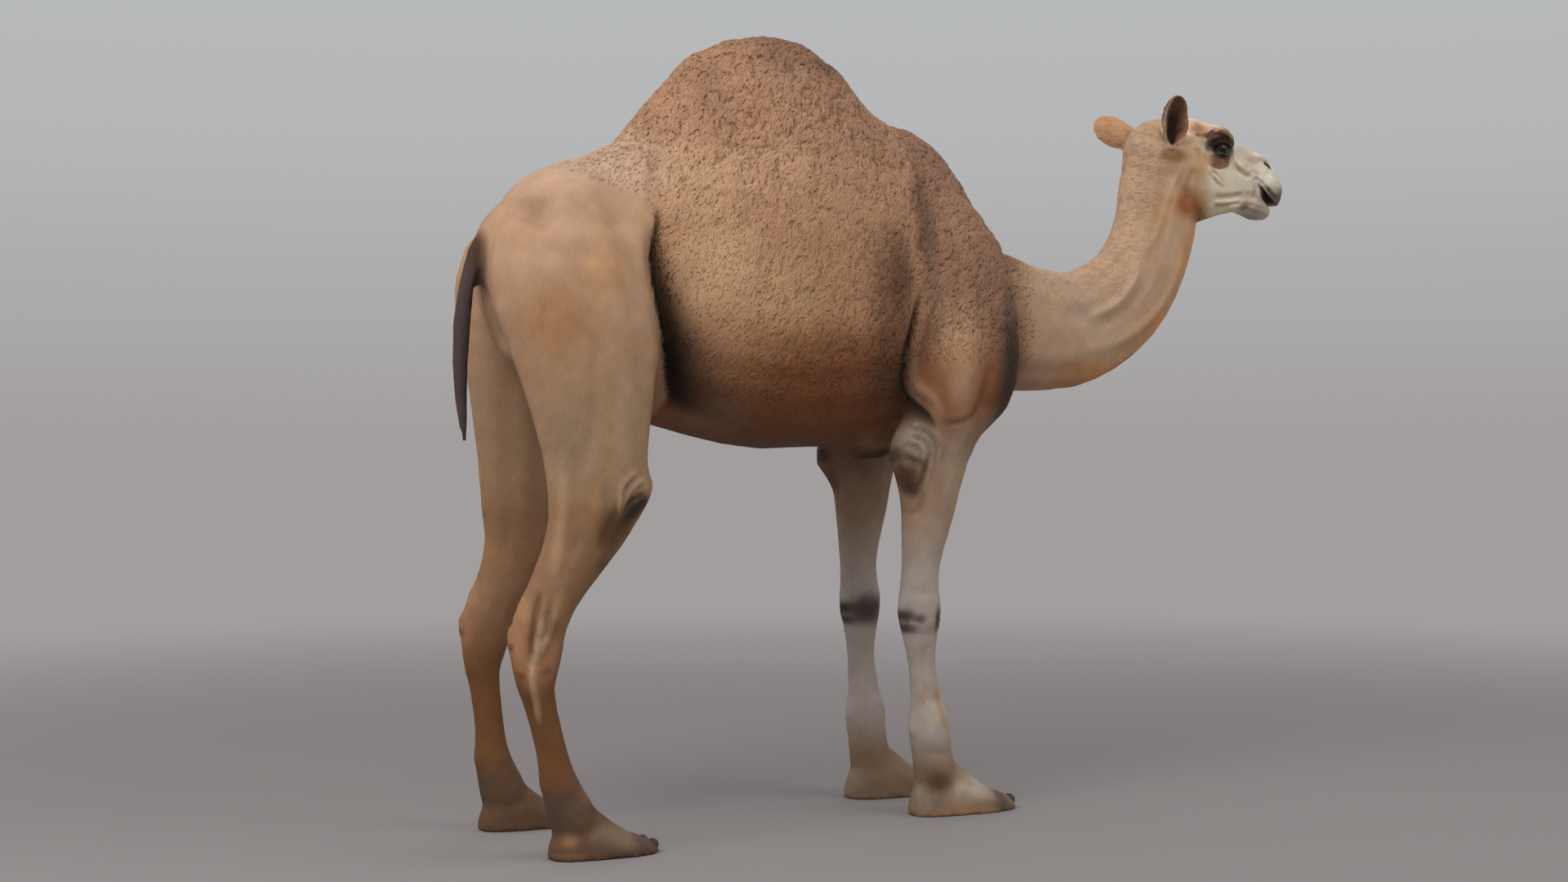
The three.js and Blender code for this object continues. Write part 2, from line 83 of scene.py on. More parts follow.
# The line through the middle of the body from the tail root to the nose.
SPINE = [(-0.74, 1.50), (-0.45, 1.46), (0.0, 1.45), (0.45, 1.47), (0.77, 1.405), (1.015, 1.372),
         (1.24, 1.408), (1.415, 1.566), (1.487, 1.752), (1.52, 1.88), (1.62, 1.89), (1.80, 1.878),
         (1.98, 1.85)]


def vertices(node):
    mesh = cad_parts[node].data
    co = np.empty(len(mesh.vertices) * 3)
    mesh.vertices.foreach_get("co", co)
    return co.reshape(-1, 3)


def leg_line(end, side, heights, window=0.045):
    """The middle of a leg, fore and aft, at each height."""
    co = np.concatenate([vertices(f"{end}_leg_{side}"), vertices(f"{end}_foot_{side}")])
    found = []
    for z in heights:
        ring = co[np.abs(co[:, 2] - z) < window, 0]
        found.append((ring.min() + ring.max()) / 2 if len(ring) else np.nan)
    return np.array(found)


HEIGHTS = np.linspace(0.06, 1.04, 15)
STRIDE = {end: leg_line(end, "left", HEIGHTS) - leg_line(end, "right", HEIGHTS) for end in ENDS}


def placed(path, side=-1, limb=None):
    """Points of the right side, in the frame, or their mirror on the left, which for a limb also
    moves with that leg's stride."""
    p = np.array(path, float).reshape(-1, 3).copy()
    if side > 0:
        p[:, 1] *= -1
        if limb in STRIDE:
            p[:, 0] += np.interp(p[:, 2], HEIGHTS, STRIDE[limb])
    p[:, 0] += AHEAD
    return p


# ---------------------------------------------------------------- small maths
def soft(low, high, x):
    t = np.clip((x - low) / (high - low), 0, 1)
    return t * t * (3 - 2 * t)


def blend(first, second, share):
    return first * (1 - share) + second * share


def unit(v):
    return v / np.maximum(np.linalg.norm(v, axis=-1, keepdims=True), 1e-12)


def linear(hexa):
    """A colour written as #rrggbb, as linear light."""
    c = np.array([int(hexa[i:i + 2], 16) for i in (1, 3, 5)]) / 255
    return np.where(c < 0.04045, c / 12.92, ((c + 0.055) / 1.055) ** 2.4)


def curve(points, steps=5):
    """A smooth line through the points."""
    p = np.asarray(points, float)
    if len(p) < 3:
        return p
    ends = np.vstack([2 * p[0] - p[1], p, 2 * p[-1] - p[-2]])
    out = []
    for a, b, c, d in zip(ends[:-3], ends[1:-2], ends[2:-1], ends[3:]):
        for t in np.arange(steps) / steps:
            out.append(0.5 * (2 * b + (c - a) * t + (2 * a - 5 * b + 4 * c - d) * t ** 2
                              + (3 * b - a - 3 * c + d) * t ** 3))
    return np.array(out + [p[-1]])


def run_of(line):
    """How far along a line each of its points lies."""
    return np.concatenate([[0], np.cumsum(np.linalg.norm(np.diff(line, axis=0), axis=1))])


def to_line(p, line):
    """How far each point is from a line, and how far along the line (0 to 1) it lies."""
    best = np.full(len(p), np.inf)
    along = np.zeros(len(p))
    run = run_of(line)
    for i, (a, b) in enumerate(zip(line[:-1], line[1:])):
        d = b - a
        t = np.clip((p - a) @ d / max(d @ d, 1e-12), 0, 1)
        gap = np.linalg.norm(p - a - t[:, None] * d, axis=1)
        near = gap < best
        best[near] = gap[near]
        along[near] = ((run[i] + t * (run[i + 1] - run[i])) / run[-1])[near]
    return best, along


def near_line(co, line, reach):
    low, high = line.min(0) - reach, line.max(0) + reach
    return np.where(((co > low) & (co < high)).all(1))[0]


def waves(p, size, seed):
    """Smooth random values about -1 to 1 that change over about `size` metres."""
    rng = np.random.default_rng(seed)
    total = np.zeros(len(p))
    for _ in range(7):
        way = unit(rng.normal(size=3)) * (2 * math.pi / size) * rng.uniform(0.5, 1.3)
        total += np.sin(p @ way + rng.uniform(0, 2 * math.pi))
    return total / 3.2


# ---------------------------------------------------------------- meshes
def new_object(name, co, faces, material=None):
    """An object from points and a list of face arrays, each of faces with equally many corners."""
    mesh = bpy.data.meshes.new(name)
    mesh.vertices.add(len(co))
    mesh.vertices.foreach_set("co", np.asarray(co, np.float32).ravel())
    loops = np.concatenate([np.asarray(f, np.int32).ravel() for f in faces])
    sizes = np.concatenate([np.full(len(f), np.shape(f)[1]) for f in faces])
    mesh.loops.add(len(loops))
    mesh.loops.foreach_set("vertex_index", loops)
    mesh.polygons.add(len(sizes))
    starts = np.concatenate([[0], np.cumsum(sizes)[:-1]]).astype(np.int32)
    mesh.polygons.foreach_set("loop_start", starts)
    mesh.update(calc_edges=True)
    mesh.polygons.foreach_set("use_smooth", np.full(len(sizes), True))
    thing = bpy.data.objects.new(name, mesh)
    bpy.context.scene.collection.objects.link(thing)
    if material:
        mesh.materials.append(material)
    return thing


def points_of(mesh):
    co = np.empty(len(mesh.vertices) * 3, np.float32)
    mesh.vertices.foreach_get("co", co)
    return co.reshape(-1, 3).astype(float)


def quads_of(mesh):
    corners = np.empty(len(mesh.loops), np.int32)
    mesh.loops.foreach_get("vertex_index", corners)
    return corners.reshape(-1, 4)


def summed(index, values, count):
    """The sum of the rows of `values` that go to each of `count` points."""
    return np.stack([np.bincount(index, values[:, axis], count) for axis in range(3)], 1)


def normals_of(co, faces):
    """The normal at each point of a mesh of triangles or of quads."""
    face = np.cross(co[faces[:, -2]] - co[faces[:, 0]], co[faces[:, -1]] - co[faces[:, -3]])
    return unit(sum(summed(corner, face, len(co)) for corner in faces.T))


def set_floats(mesh, name, values):
    mesh.attributes.new(name, "FLOAT", "POINT").data.foreach_set(
        "value", np.asarray(values, np.float32))


def set_colours(mesh, values):
    rgba = np.ones((len(mesh.vertices), 4), np.float32)
    rgba[:, :3] = values
    colours = mesh.color_attributes.new("coat", "FLOAT_COLOR", "POINT")
    colours.data.foreach_set("color", rgba.ravel())


def get_floats(mesh, name):
    found = np.empty(len(mesh.vertices), np.float32)
    mesh.attributes[name].data.foreach_get("value", found)
    return found.astype(float)


def tube(rings, around):
    """The quads of a tube of `rings` rings of `around` points, and the fans that close its first
    and last ring with the two points that come after them."""
    i, j = np.meshgrid(np.arange(rings - 1), np.arange(around), indexing="ij")
    k = (j + 1) % around
    quads = np.stack([i * around + j, i * around + k, (i + 1) * around + k,
                      (i + 1) * around + j], -1).reshape(-1, 4)
    j = np.arange(around)
    k = (j + 1) % around
    last, end = (rings - 1) * around, rings * around
    fans = np.concatenate([np.stack([k, j, np.full(around, end)], 1),
                           np.stack([last + j, last + k, np.full(around, end + 1)], 1)])
    return quads, fans


def repeated(faces, count, size):
    """The faces of one piece of `size` points, for `count` such pieces."""
    shift = (np.arange(count) * size)[:, None, None]
    return [(face[None] + shift).reshape(-1, face.shape[1]) for face in faces]


def rope(line, radii, around=10):
    """A closed round tube along a line, with rounded ends."""
    line = np.asarray(line, float)
    radii = np.interp(np.linspace(0, 1, len(line)), np.linspace(0, 1, len(radii)), radii)
    along = unit(np.gradient(line, axis=0))
    centres, sizes = [], []
    for back, share in ((0.9, 0.35), (0.55, 0.8)):
        centres.append(line[0] - along[0] * radii[0] * back)
        sizes.append(radii[0] * share)
    centres += list(line)
    sizes += list(radii)
    for back, share in ((0.55, 0.8), (0.9, 0.35)):
        centres.append(line[-1] + along[-1] * radii[-1] * back)
        sizes.append(radii[-1] * share)
    centres, sizes = np.array(centres), np.array(sizes)
    along = unit(np.gradient(centres, axis=0))
    across = unit(np.cross(along, np.where(np.abs(along[:, 1:2]) < 0.8, [[0, 1, 0]], [[1, 0, 0]])))
    other = np.cross(along, across)
    turn = np.arange(around) / around * 2 * math.pi
    rings = (centres[:, None] + sizes[:, None, None]
             * (np.cos(turn)[None, :, None] * across[:, None]
                + np.sin(turn)[None, :, None] * other[:, None]))
    quads, fans = tube(len(centres), around)
    points = np.vstack([rings.reshape(-1, 3), centres[:1], centres[-1:]])
    return points, np.concatenate([quads[:, [0, 1, 2]], quads[:, [0, 2, 3]], fans])


# ---------------------------------------------------------------- tables
# Forms and markings are tables with one row to a line, each split at its bars; a row goes on after
# a comma. A path is points of the right side, x y z in millimetres with a comma between them, or
# the name of a line in LINES, which is shifted ahead and up by the numbers after an @.
LINES = {}


def table(text):
    rows = text.strip().replace(",\n", ",").split("\n")
    return [[cell.strip() for cell in row.split("|")] for row in rows]


def numbers(text):
    return [float(number) for number in text.split()]


def beside(path, ahead=0.0, up=0.0):
    return [(x + ahead, y, z + up) for x, y, z in path]


def path_of(text):
    place, _, shift = text.partition("@")
    points = LINES.get(place.strip())
    if points is None:
        points = [[number / 1000 for number in numbers(point)] for point in place.split(",")]
    return beside(points, *(number / 1000 for number in numbers(shift)))


# ---------------------------------------------------------------- clay on the head
EYE_AXIS = unit(np.array([-0.08, -0.99, 0.06]))


def eye_frame(side):
    """The middle of one eye, the way it looks, its upward and its forward direction."""
    out = EYE_AXIS * (1, -side, 1)
    up = unit(np.array([0, 0, 1]) - out * out[2])
    return middle("eye_right") * (1, -side, 1), out, up, np.cross(up, out) * -side


def lid_line(side, low, high, over, steps=25):
    """The edge of the open eye from angle low to high (0 ahead, 90 up), `over` the eyeball."""
    centre, out, up, along = eye_frame(side)
    turn = np.radians(np.linspace(low, high, steps))[:, None]
    u = EYE_WIDE * np.cos(turn)
    v = np.where(turn < math.pi, EYE_UP, EYE_DOWN) * np.sin(turn) - EYE_SLANT * u
    height = np.sqrt(np.maximum((EYEBALL * EYE_RADIUS + over) ** 2 - u ** 2 - v ** 2, 0))
    return centre + along * u + up * v + out * height


# Name, path on the right side and radii along it in millimetres.
CLAY = [(path_of(path), np.array(numbers(radii)) * MM) for _, path, radii in table("""
brow ridge | 1590 -84 1978, 1620 -87 1996, 1655 -88 2003, 1690 -86 1998, 1716 -79 1981, 1727 -73 1955,
  1722 -76 1930 | 4 8 11 13 12 8 4
upper lid | 1640 -96 1955, 1655 -98 1972, 1680 -99 1977, 1702 -93 1968 | 2 4 5 3
cheekbone | 1600 -88 1912, 1650 -90 1896, 1705 -80 1898 | 6 9 5
upper lip edge | 1842 -54 1868, 1866 -53 1858, 1900 -50 1828, 1940 -42 1803, 1962 -26 1800 | 3 4 4 4 3
lower lip edge | 1850 -51 1838, 1872 -47 1810, 1902 -43 1784, 1922 -30 1770, 1928 0 1766 | 2 3 4 4 4
""")]


def ear_axes(side):
    """The root of an ear, and its directions: along it, across it to the front, out of its hollow."""
    root, point, hollow = (np.array(v, float) for v in EARS["left" if side > 0 else "right"])
    point = unit(point)
    across = unit(np.cross(point, hollow))
    hollow = unit(np.cross(across, point))
    return root + (AHEAD, 0, 0), np.stack([point, across * -side, hollow])


# The lower rim of each ear and the bowl behind it, in the ear's own axes, with radii in millimetres.
EAR_CLAY = [(path_of(path), np.array(numbers(radii)) * MM) for path, radii in table("""
92 39 -6, 62 45 -5, 32 45 -4, 6 38 -3, -10 22 -2, -13 3 -2, -4 -17 -4, 22 -31 -6 | 2 4 5 5 5 5 5 3
58 30 -19, 28 30 -21, 6 16 -21, 2 -4 -20 | 10 12 13 11
92 35 -10, 60 37 -12, 30 37 -13, 6 30 -13, -3 12 -12 | 4 8 10 10 9
""")]


def clay():
    shapes = []
    for _, side in SIDES:
        root, axes = ear_axes(side)
        shapes += [rope(curve(root + np.array(path) @ axes), radii) for path, radii in EAR_CLAY]
    for _, side in SIDES:
        shapes += [rope(curve(placed(path, side)), radii) for path, radii in CLAY]
    return shapes


# ---------------------------------------------------------------- skin
# The head is enlarged about this point before the body is remeshed, and shrunk back after it, so
# that its faces are finer while the skin stays one closed mesh.
ZOOM_FROM = np.array([1.36 + AHEAD, 0, 1.62])
ZOOM = 3.2
ZOOM_START, ZOOM_FULL = 1.12 + AHEAD, 1.52 + AHEAD


def zoom_at(x):
    return 1 + (ZOOM - 1) * soft(ZOOM_START, ZOOM_FULL, x)


def enlarged(p):
    return np.where(p[:, :1] > ZOOM_START, ZOOM_FROM + (p - ZOOM_FROM) * zoom_at(p[:, :1]), p)


def shrunk(p):
    """The way back from enlarged(), found by halving."""
    low, high = np.ones((len(p), 1)), np.full((len(p), 1), ZOOM)
    for _ in range(26):
        guess = (low + high) / 2
        x = ZOOM_FROM[0] + (p[:, :1] - ZOOM_FROM[0]) / guess
        small = zoom_at(x) > guess
        low, high = np.where(small, guess, low), np.where(small, high, guess)
    return ZOOM_FROM + (p - ZOOM_FROM) / low


def flesh():
    """Every flesh node and the clay as one soup of closed surfaces, the nodes swollen a little so
    that the thin cuts between them close, and the ears more so that their rims are not lost."""
    points, tris, base = [], [], 0
    for node in FLESH:
        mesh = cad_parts[node].data
        co = vertices(node)
        mesh.calc_loop_triangles()
        tri = np.empty(len(mesh.loop_triangles) * 3, np.int32)
        mesh.loop_triangles.foreach_get("vertices", tri)
        tri = tri.reshape(-1, 3)
        co, tri = welded(co, tri)
        swell = 1.4 if node.startswith("ear_") else 0.4
        points.append(co + normals_of(co, tri) * swell * MM)
        tris.append(tri + base)
        base += len(co)
    for co, tri in clay():
        points.append(co)
        tris.append(tri + base)
        base += len(co)
    return np.concatenate(points), np.concatenate(tris)


def welded(co, tri):
    key = np.round(co / (0.01 * MM)).astype(np.int64)
    _, first, inverse = np.unique(key, axis=0, return_index=True, return_inverse=True)
    return co[first], inverse.reshape(-1)[tri]


def halved(co, tri, longest):
    """Triangles cut in four, at most twice, until none is much longer than `longest`."""
    for _ in range(2):
        edges = np.sort(np.concatenate([tri[:, [0, 1]], tri[:, [1, 2]], tri[:, [2, 0]]]), axis=1)
        if np.linalg.norm(co[edges[:, 0]] - co[edges[:, 1]], axis=1).max() < longest:
            break
        pairs, where = np.unique(edges, axis=0, return_inverse=True)
        mid = where.reshape(3, -1).T + len(co)
        co = np.vstack([co, co[pairs].mean(1)])
        a, b, c = tri.T
        ab, bc, ca = mid.T
        tri = np.concatenate([np.stack(t, 1) for t in
                              ((a, ab, ca), (b, bc, ab), (c, ca, bc), (ab, bc, ca))])
    return co, tri


def remeshed(co, tri, size):
    """The outer surface of overlapping closed pieces as one even mesh of quads."""
    raw = new_object("raw", co, [tri])
    way = raw.modifiers.new("voxels", "REMESH")
    way.mode = "VOXEL"
    way.voxel_size = size
    done = bpy.data.meshes.new_from_object(
        raw.evaluated_get(bpy.context.evaluated_depsgraph_get()))
    found = points_of(done), quads_of(done)
    bpy.data.objects.remove(raw)
    return found


def largest_piece(co, quads):
    """Only the outer skin: small closed bits left inside the cuts are dropped."""
    corners = quads.ravel()
    order = np.argsort(corners, kind="stable")
    starts = np.searchsorted(corners[order], np.arange(len(co)))
    label = np.arange(len(co))
    while True:
        lowest = np.minimum.reduceat(label[quads].min(1)[order // 4], starts)
        for _ in range(4):
            lowest = lowest[lowest]
        if (lowest == label).all():
            break
        label = lowest
    keep = label == np.bincount(label).argmax()
    new = np.cumsum(keep) - 1
    return co[keep], new[quads[keep[quads].all(1)]]


def ear_places(p, side):
    """Each point in an ear's own axes: along it, across it to the front and out of its hollow."""
    root, axes = ear_axes(side)
    along, across, out = ((p - root) @ axes.T).T
    return along, across, out, axes[2]


def on_ears(p):
    """1 on the ears, 0 on the head."""
    total = np.zeros(len(p))
    for _, side in SIDES:
        along, across, out, _ = ear_places(p, side)
        size = soft(0.022, 0.045, along) * soft(0.075, 0.055, np.abs(across))
        total = np.maximum(total, size * soft(0.075, 0.05, np.abs(out)))
    return total


def off_the_ears(p):
    """0 at the roots of the ears, 1 away from them."""
    away = [np.linalg.norm(p - ear_axes(side)[0], axis=1) for _, side in SIDES]
    return soft(0.050, 0.080, np.minimum(*away))


def fairing(p):
    """How strongly the skin is faired: the scale of the solids' flat facets, in edges."""
    x, z = p[:, 0] - AHEAD, p[:, 2]
    head = soft(1.50, 1.60, x + 0.25 * (z - 1.9)) * soft(1.66, 1.72, z)
    neck = soft(0.95, 1.15, x) * (1 - head)
    leg = soft(1.12, 0.98, z) * (1 - neck) * (1 - head)
    foot = soft(0.17, 0.12, z)
    strength = 28 * (1 - leg) * (1 - neck) * (1 - head) + 12 * leg * (1 - foot) + 4 * foot
    strength += 34 * neck + 16 * head
    tail = soft(-0.765, -0.785, x) * soft(0.98, 1.02, z) * soft(0.06, 0.045, np.abs(p[:, 1]))
    strength = blend(strength, 2, tail)
    lips = soft(1.81, 1.85, x) * head
    strength = blend(strength, 4, lips)
    for _, side in SIDES:
        eye = middle("eye_left" if side > 0 else "eye_right")
        around = soft(0.062, 0.040, np.linalg.norm(p - eye, axis=1))
        strength = blend(strength, 4, around)
        along, across, out, _ = ear_places(p, side)
        bowl = soft(-0.035, -0.020, along) * soft(0.075, 0.058, np.abs(across))
        bowl *= soft(0.050, 0.030, np.abs(out))
        strength = blend(strength, 6, bowl)
    return blend(strength, 6, on_ears(p))


def faired(co, quads, strength, rounds):
    """The surface with its small facets taken out and its larger forms kept: the least bent
    surface near the given one, found by conjugate gradients."""
    edges = np.unique(np.sort(np.concatenate(
        [quads[:, [k, (k + 1) % 4]] for k in range(4)]), axis=1), axis=0)
    a, b = edges.T
    valence = np.bincount(edges.ravel(), minlength=len(co))[:, None].astype(float)

    def bent(v):
        return (valence * v - (summed(a, v[b], len(v)) + summed(b, v[a], len(v)))) / 4

    weight = (strength ** 2)[:, None]

    def system(v):
        return v + bent(weight * bent(v))

    x = co.copy()
    rest = co - system(x)
    step = rest.copy()
    size = (rest * rest).sum(0)
    for _ in range(rounds):
        pushed = system(step)
        share = size / np.maximum((step * pushed).sum(0), 1e-30)
        x += share * step
        rest -= share * pushed
        new = (rest * rest).sum(0)
        step = rest + step * (new / np.maximum(size, 1e-30))
        size = new
    return x


def rubbed(co, quads, share, rounds):
    """The surface with each point moved towards the middle of its neighbours, which rounds off
    thin edges; `share` says where."""
    count = np.bincount(quads.ravel(), minlength=len(co))[:, None]
    for _ in range(rounds):
        total = summed(quads.ravel(), np.repeat(co[quads].mean(1), 4, axis=0), len(co))
        co = co + (total / count - co) * share[:, None]
    return co


def base_skin(grain, rounds):
    """One smooth closed skin over all the flesh and the clay."""
    co, tri = halved(*flesh(), 0.06)
    co, quads = largest_piece(*remeshed(enlarged(co), tri, grain))
    co = shrunk(co)
    return faired(co, quads, fairing(co), rounds), quads


# ---------------------------------------------------------------- sculpted detail
# Lines that several folds and markings follow.
LINES.update((name, path_of(path)) for name, path in table("""
flank crease | -385 -235 1600, -391 -240 1530, -386 -244 1450, -362 -238 1350, -334 -210 1250,
  -305 -150 1150
rear of shoulder | 436 -250 1460, 408 -252 1350, 393 -243 1270, 410 -222 1197, 444 -229 1148,
  470 -250 1095
fold over forearm | 480 -265 1092, 530 -270 1088, 582 -274 1105, 606 -285 1165, 622 -292 1260
elbow crease | 456 -246 1000, 450 -238 960, 440 -226 925, 428 -208 900
stifle crease | -512 -308 862, -500 -306 882, -481 -302 897, -444 -291 914
rear hock tendon | -748 -277 492, -735 -283 554, -722 -283 605, -708 -282 660
front hock tendon | -748 -277 492, -726 -282 531, -705 -284 566, -681 -286 630
shank tendon | -748 -277 495, -746 -273 447, -735 -270 400, -725 -267 350
hock groove | -752 -276 505, -750 -278 545, -744 -278 590, -736 -275 630, -725 -271 668
shin hollow | -712 -275 560, -700 -280 640, -660 -286 740, -620 -292 830
neck ridge | 1352 -88 1580, 1316 -92 1515, 1246 -96 1450, 1130 -104 1405
gullet | 1545 -70 1640, 1500 -78 1520, 1400 -86 1410, 1240 -94 1330, 1080 -100 1300
cheek crease | 1655 -80 1795, 1733 -64 1803, 1800 -54 1815
nose fold | 1738 -74 1930, 1760 -70 1905, 1800 -62 1888, 1845 -58 1884
nostril | 1889 -50 1922, 1904 -53 1915, 1918 -53 1903
mouth corner | 1822 -58 1858, 1838 -58 1874, 1860 -56 1872, 1882 -54 1856
elbow arc 1 | 395 -225 1092, 431 -245 1082, 467 -255 1062, 489 -254 1024, 488 -250 975
elbow arc 2 | 392 -228 1068, 420 -241 1063, 449 -250 1050, 467 -250 1023, 467 -244 980, 458 -232 920
elbow arc 3 | 388 -222 1042, 412 -237 1040, 436 -246 1026, 446 -244 998
elbow arc 4 | 378 -205 1006, 398 -226 1008, 420 -236 1000, 432 -236 980
elbow arc 5 | 378 -195 975, 396 -214 972, 412 -222 960
stifle arc 1 | -524 -310 868, -524 -315 920, -500 -311 948, -470 -302 964
stifle arc 2 | -506 -310 892, -492 -307 915, -475 -303 930, -447 -293 946
"""))
ELBOW_ARCS = [LINES[f"elbow arc {k}"] for k in (1, 2, 3, 4, 5)]
STIFLE_ARCS = [LINES[f"stifle arc {k}"] for k in (1, 2)]
# Name, limb that it moves with, path, width and height in millimetres (out of the body above 0,
# into it below).
STROKES = [(limb, path_of(path), *numbers(size)) for _, limb, path, size in table("""
flank crease | body | flank crease | 20 -30
flank crease, its bottom | body | flank crease @ 12 | 11 -16
front edge of thigh | body | flank crease @ -38 | 24 12
hollow of the flank | body | -330 -250 1520, -300 -260 1420 | 50 -10
crease behind the shoulder | body | rear of shoulder | 13 -20
rear edge of upper arm | body | rear of shoulder @ 30 | 18 9
shoulder blade, rear edge | body | 470 -200 1780, 452 -235 1640, 440 -250 1500 | 26 -8
shoulder blade spine | body | 580 -190 1780, 600 -235 1620, 630 -275 1440 | 34 7
fold over the forearm | fore | fold over forearm | 9 -4
lip of that fold | fore | fold over forearm @ -4 18 | 10 2.5
edge of the breast | body | 640 -262 1110, 622 -275 1170, 640 -285 1260 | 14 -6
point of the hip | body | -600 -165 1670, -640 -185 1655 | 38 12
hollow ahead of the hip | body | -490 -190 1660, -470 -215 1600 | 40 -9
hollow of the haunch | body | -690 -190 1640, -700 -210 1580 | 36 -7
thigh muscle | body | -735 -285 1420, -705 -315 1240, -665 -315 1080 | 13 -4
rear thigh muscle | body | -600 -330 1300, -600 -322 1120, -625 -312 950 | 16 -4
point of the elbow | fore | 385 -180 1000, 400 -210 975 | 26 9
under the elbow | fore | 392 -190 915, 420 -215 875 | 16 -6
forearm groove | fore | 470 -245 980, 462 -236 850, 462 -226 720 | 8 -5
front forearm muscle | fore | 545 -232 1000, 525 -228 860 | 18 4
knee, upper | fore | 425 -175 622, 450 -222 620, 500 -222 618, 535 -175 620 | 14 -2.5
knee cap | fore | 535 -170 590, 535 -170 555 | 18 5
rear of knee | fore | 418 -165 575, 420 -170 540 | 15 7
knee, lower | fore | 430 -175 503, 455 -213 505, 500 -213 507, 528 -175 508 | 13 -2.5
fore cannon groove | fore | 466 -208 480, 472 -206 400, 482 -210 320 | 7 -5
fore cannon, rear tendon | fore | 448 -195 460, 452 -193 380, 462 -196 310 | 8 3
fetlock, front | fore | 570 -170 262, 578 -170 232 | 17 6
fetlock, rear | fore | 448 -170 270, 446 -170 240 | 17 6
above fetlock | fore | 462 -190 318, 500 -215 322, 545 -190 318 | 14 -2.5
fore pastern | fore | 470 -200 178, 520 -228 172, 575 -200 178 | 15 -3.5
stifle | hind | -425 -262 930, -440 -285 890 | 28 8
under the stifle | hind | -455 -285 838, -500 -303 810 | 18 -7
achilles tendon | hind | -770 -236 600, -748 -236 690, -715 -236 790 | 13 7
hollow ahead of the achilles tendon | hind | shin hollow | 18 -4
hock, rear tendon | hind | rear hock tendon | 8 7
hock, front tendon | hind | front hock tendon | 8 7
groove of the hock | hind | hock groove | 6 -7
shank tendon | hind | shank tendon | 8 6
behind the shank tendon | hind | shank tendon @ -24 | 8 -4
point of the hock | hind | -792 -236 575, -790 -236 540 | 16 6
hind fetlock | hind | -705 -236 205, -700 -236 180 | 15 5
hind pastern | hind | -680 -262 150, -630 -290 146, -580 -262 150 | 15 -3
neck ridge | body | neck ridge | 15 8
under the neck ridge | body | neck ridge @ 22 -30 | 17 -6
gullet | body | gullet | 20 6
behind the jaw | body | 1560 -82 1880, 1545 -88 1820, 1560 -80 1762 | 12 -6
neck tendon | body | 1520 -90 1890, 1470 -92 1790, 1425 -94 1680, 1360 -94 1590 | 12 4
temple | body | 1600 -90 1946, 1615 -92 1938 | 13 -7
roll of the brow | body | 1580 -86 1981, 1603 -83 1990, 1624 -78 2003, 1647 -75 2011 | 6 5
groove over the brow | body | 1620 -80 1990, 1634 -79 1996, 1652 -76 2004 | 3.5 -4
second roll | body | 1635 -84 1988, 1647 -83 1997, 1661 -82 2004, 1680 -79 2005 | 4 4
under the rolls | body | 1597 -89 1972, 1620 -86 1977, 1642 -84 1982, 1670 -83 1986 | 5 -4
front of the brow | body | 1716 -74 1998, 1732 -66 1978, 1732 -68 1955 | 7 5
dimple behind the brow | body | 1574 -88 1983, 1584 -87 1980 | 6 -4
fold below the temple | body | 1560 -94 1950, 1580 -97 1928, 1590 -98 1906 | 5 -4
its ridge | body | 1573 -94 1952, 1592 -97 1930, 1602 -98 1910 | 5 4
bag under the eye | body | 1628 -100 1912, 1660 -102 1903, 1695 -94 1912 | 6 3
under the bag | body | 1618 -100 1896, 1655 -100 1884, 1700 -90 1893 | 5 -4
tear groove | body | 1705 -82 1925, 1728 -77 1905, 1742 -74 1880 | 5 -4
cheek line | body | 1622 -98 1878, 1655 -92 1862, 1700 -80 1838 | 5 -3.5
second cheek line | body | 1612 -98 1866, 1640 -94 1848, 1672 -86 1826 | 5 -3
cheek crease | body | cheek crease | 7 -7
ridge under it | body | cheek crease @ 2 -14 | 6 6
groove under that | body | cheek crease @ 4 -27 | 5 -4
nose fold | body | nose fold | 7 3.5
under the nose fold | body | nose fold @ -2 -15 | 7 -3
over the nose fold | body | nose fold @ 4 14 | 7 -2.5
nostril | body | nostril | 5 -6
behind the nostril | body | 1842 -52 1938, 1862 -50 1930, 1880 -52 1915 | 6 -4
fold over the mouth corner | body | mouth corner | 5.5 6
outside that fold | body | mouth corner @ -12 12 | 6 -5
lip whisker pad | body | 1915 -56 1868, 1945 -52 1836 | 18 5
between lip and nose | body | 1890 -56 1893, 1920 -55 1880, 1948 -46 1878 | 6 -3.5
chin | body | 1850 -40 1765, 1890 -36 1752 | 14 4
lower lip fold | body | 1820 -54 1828, 1826 -53 1800, 1845 -45 1774 | 8 -5
jowl | body | 1500 -84 1785, 1540 -82 1765 | 26 5
under ear root | body | 1445 -82 1935, 1470 -90 1924, 1498 -92 1928 | 8 -5
""")]


def wrinkles():
    """Repeated small folds: round the elbow and stifle, down the base of the neck, over the
    front of the knees."""
    made = []
    for arc in ELBOW_ARCS:
        made.append(("fore", arc, 6, 5.5))
        made.append(("fore", beside(arc, -0.009, -0.012), 6, -4.5))
    for arc in STIFLE_ARCS:
        made.append(("hind", arc, 6, 5))
        made.append(("hind", beside(arc, 0.004, -0.013), 5.5, -3.5))
    for k in range(9):
        x = 0.885 + 0.030 * k
        made.append(("body", [(x, -0.070, 1.560 - 0.012 * k), (x + 0.006, -0.105, 1.515 - 0.012 * k),
                              (x + 0.016, -0.124, 1.450 - 0.006 * k)], 6, 2.6))
    for z in (0.562, 0.540, 0.522):
        made.append(("fore", [(0.470, -0.232, z), (0.510, -0.222, z + 0.004), (0.540, -0.180, z)],
                     6, 2.5))
    return made


def flattened(limb):
    """How much each axis counts in the distance to a line on the body or on a limb."""
    return np.array([1.0, 1.0 if limb in ENDS else 0.22, 1.0])


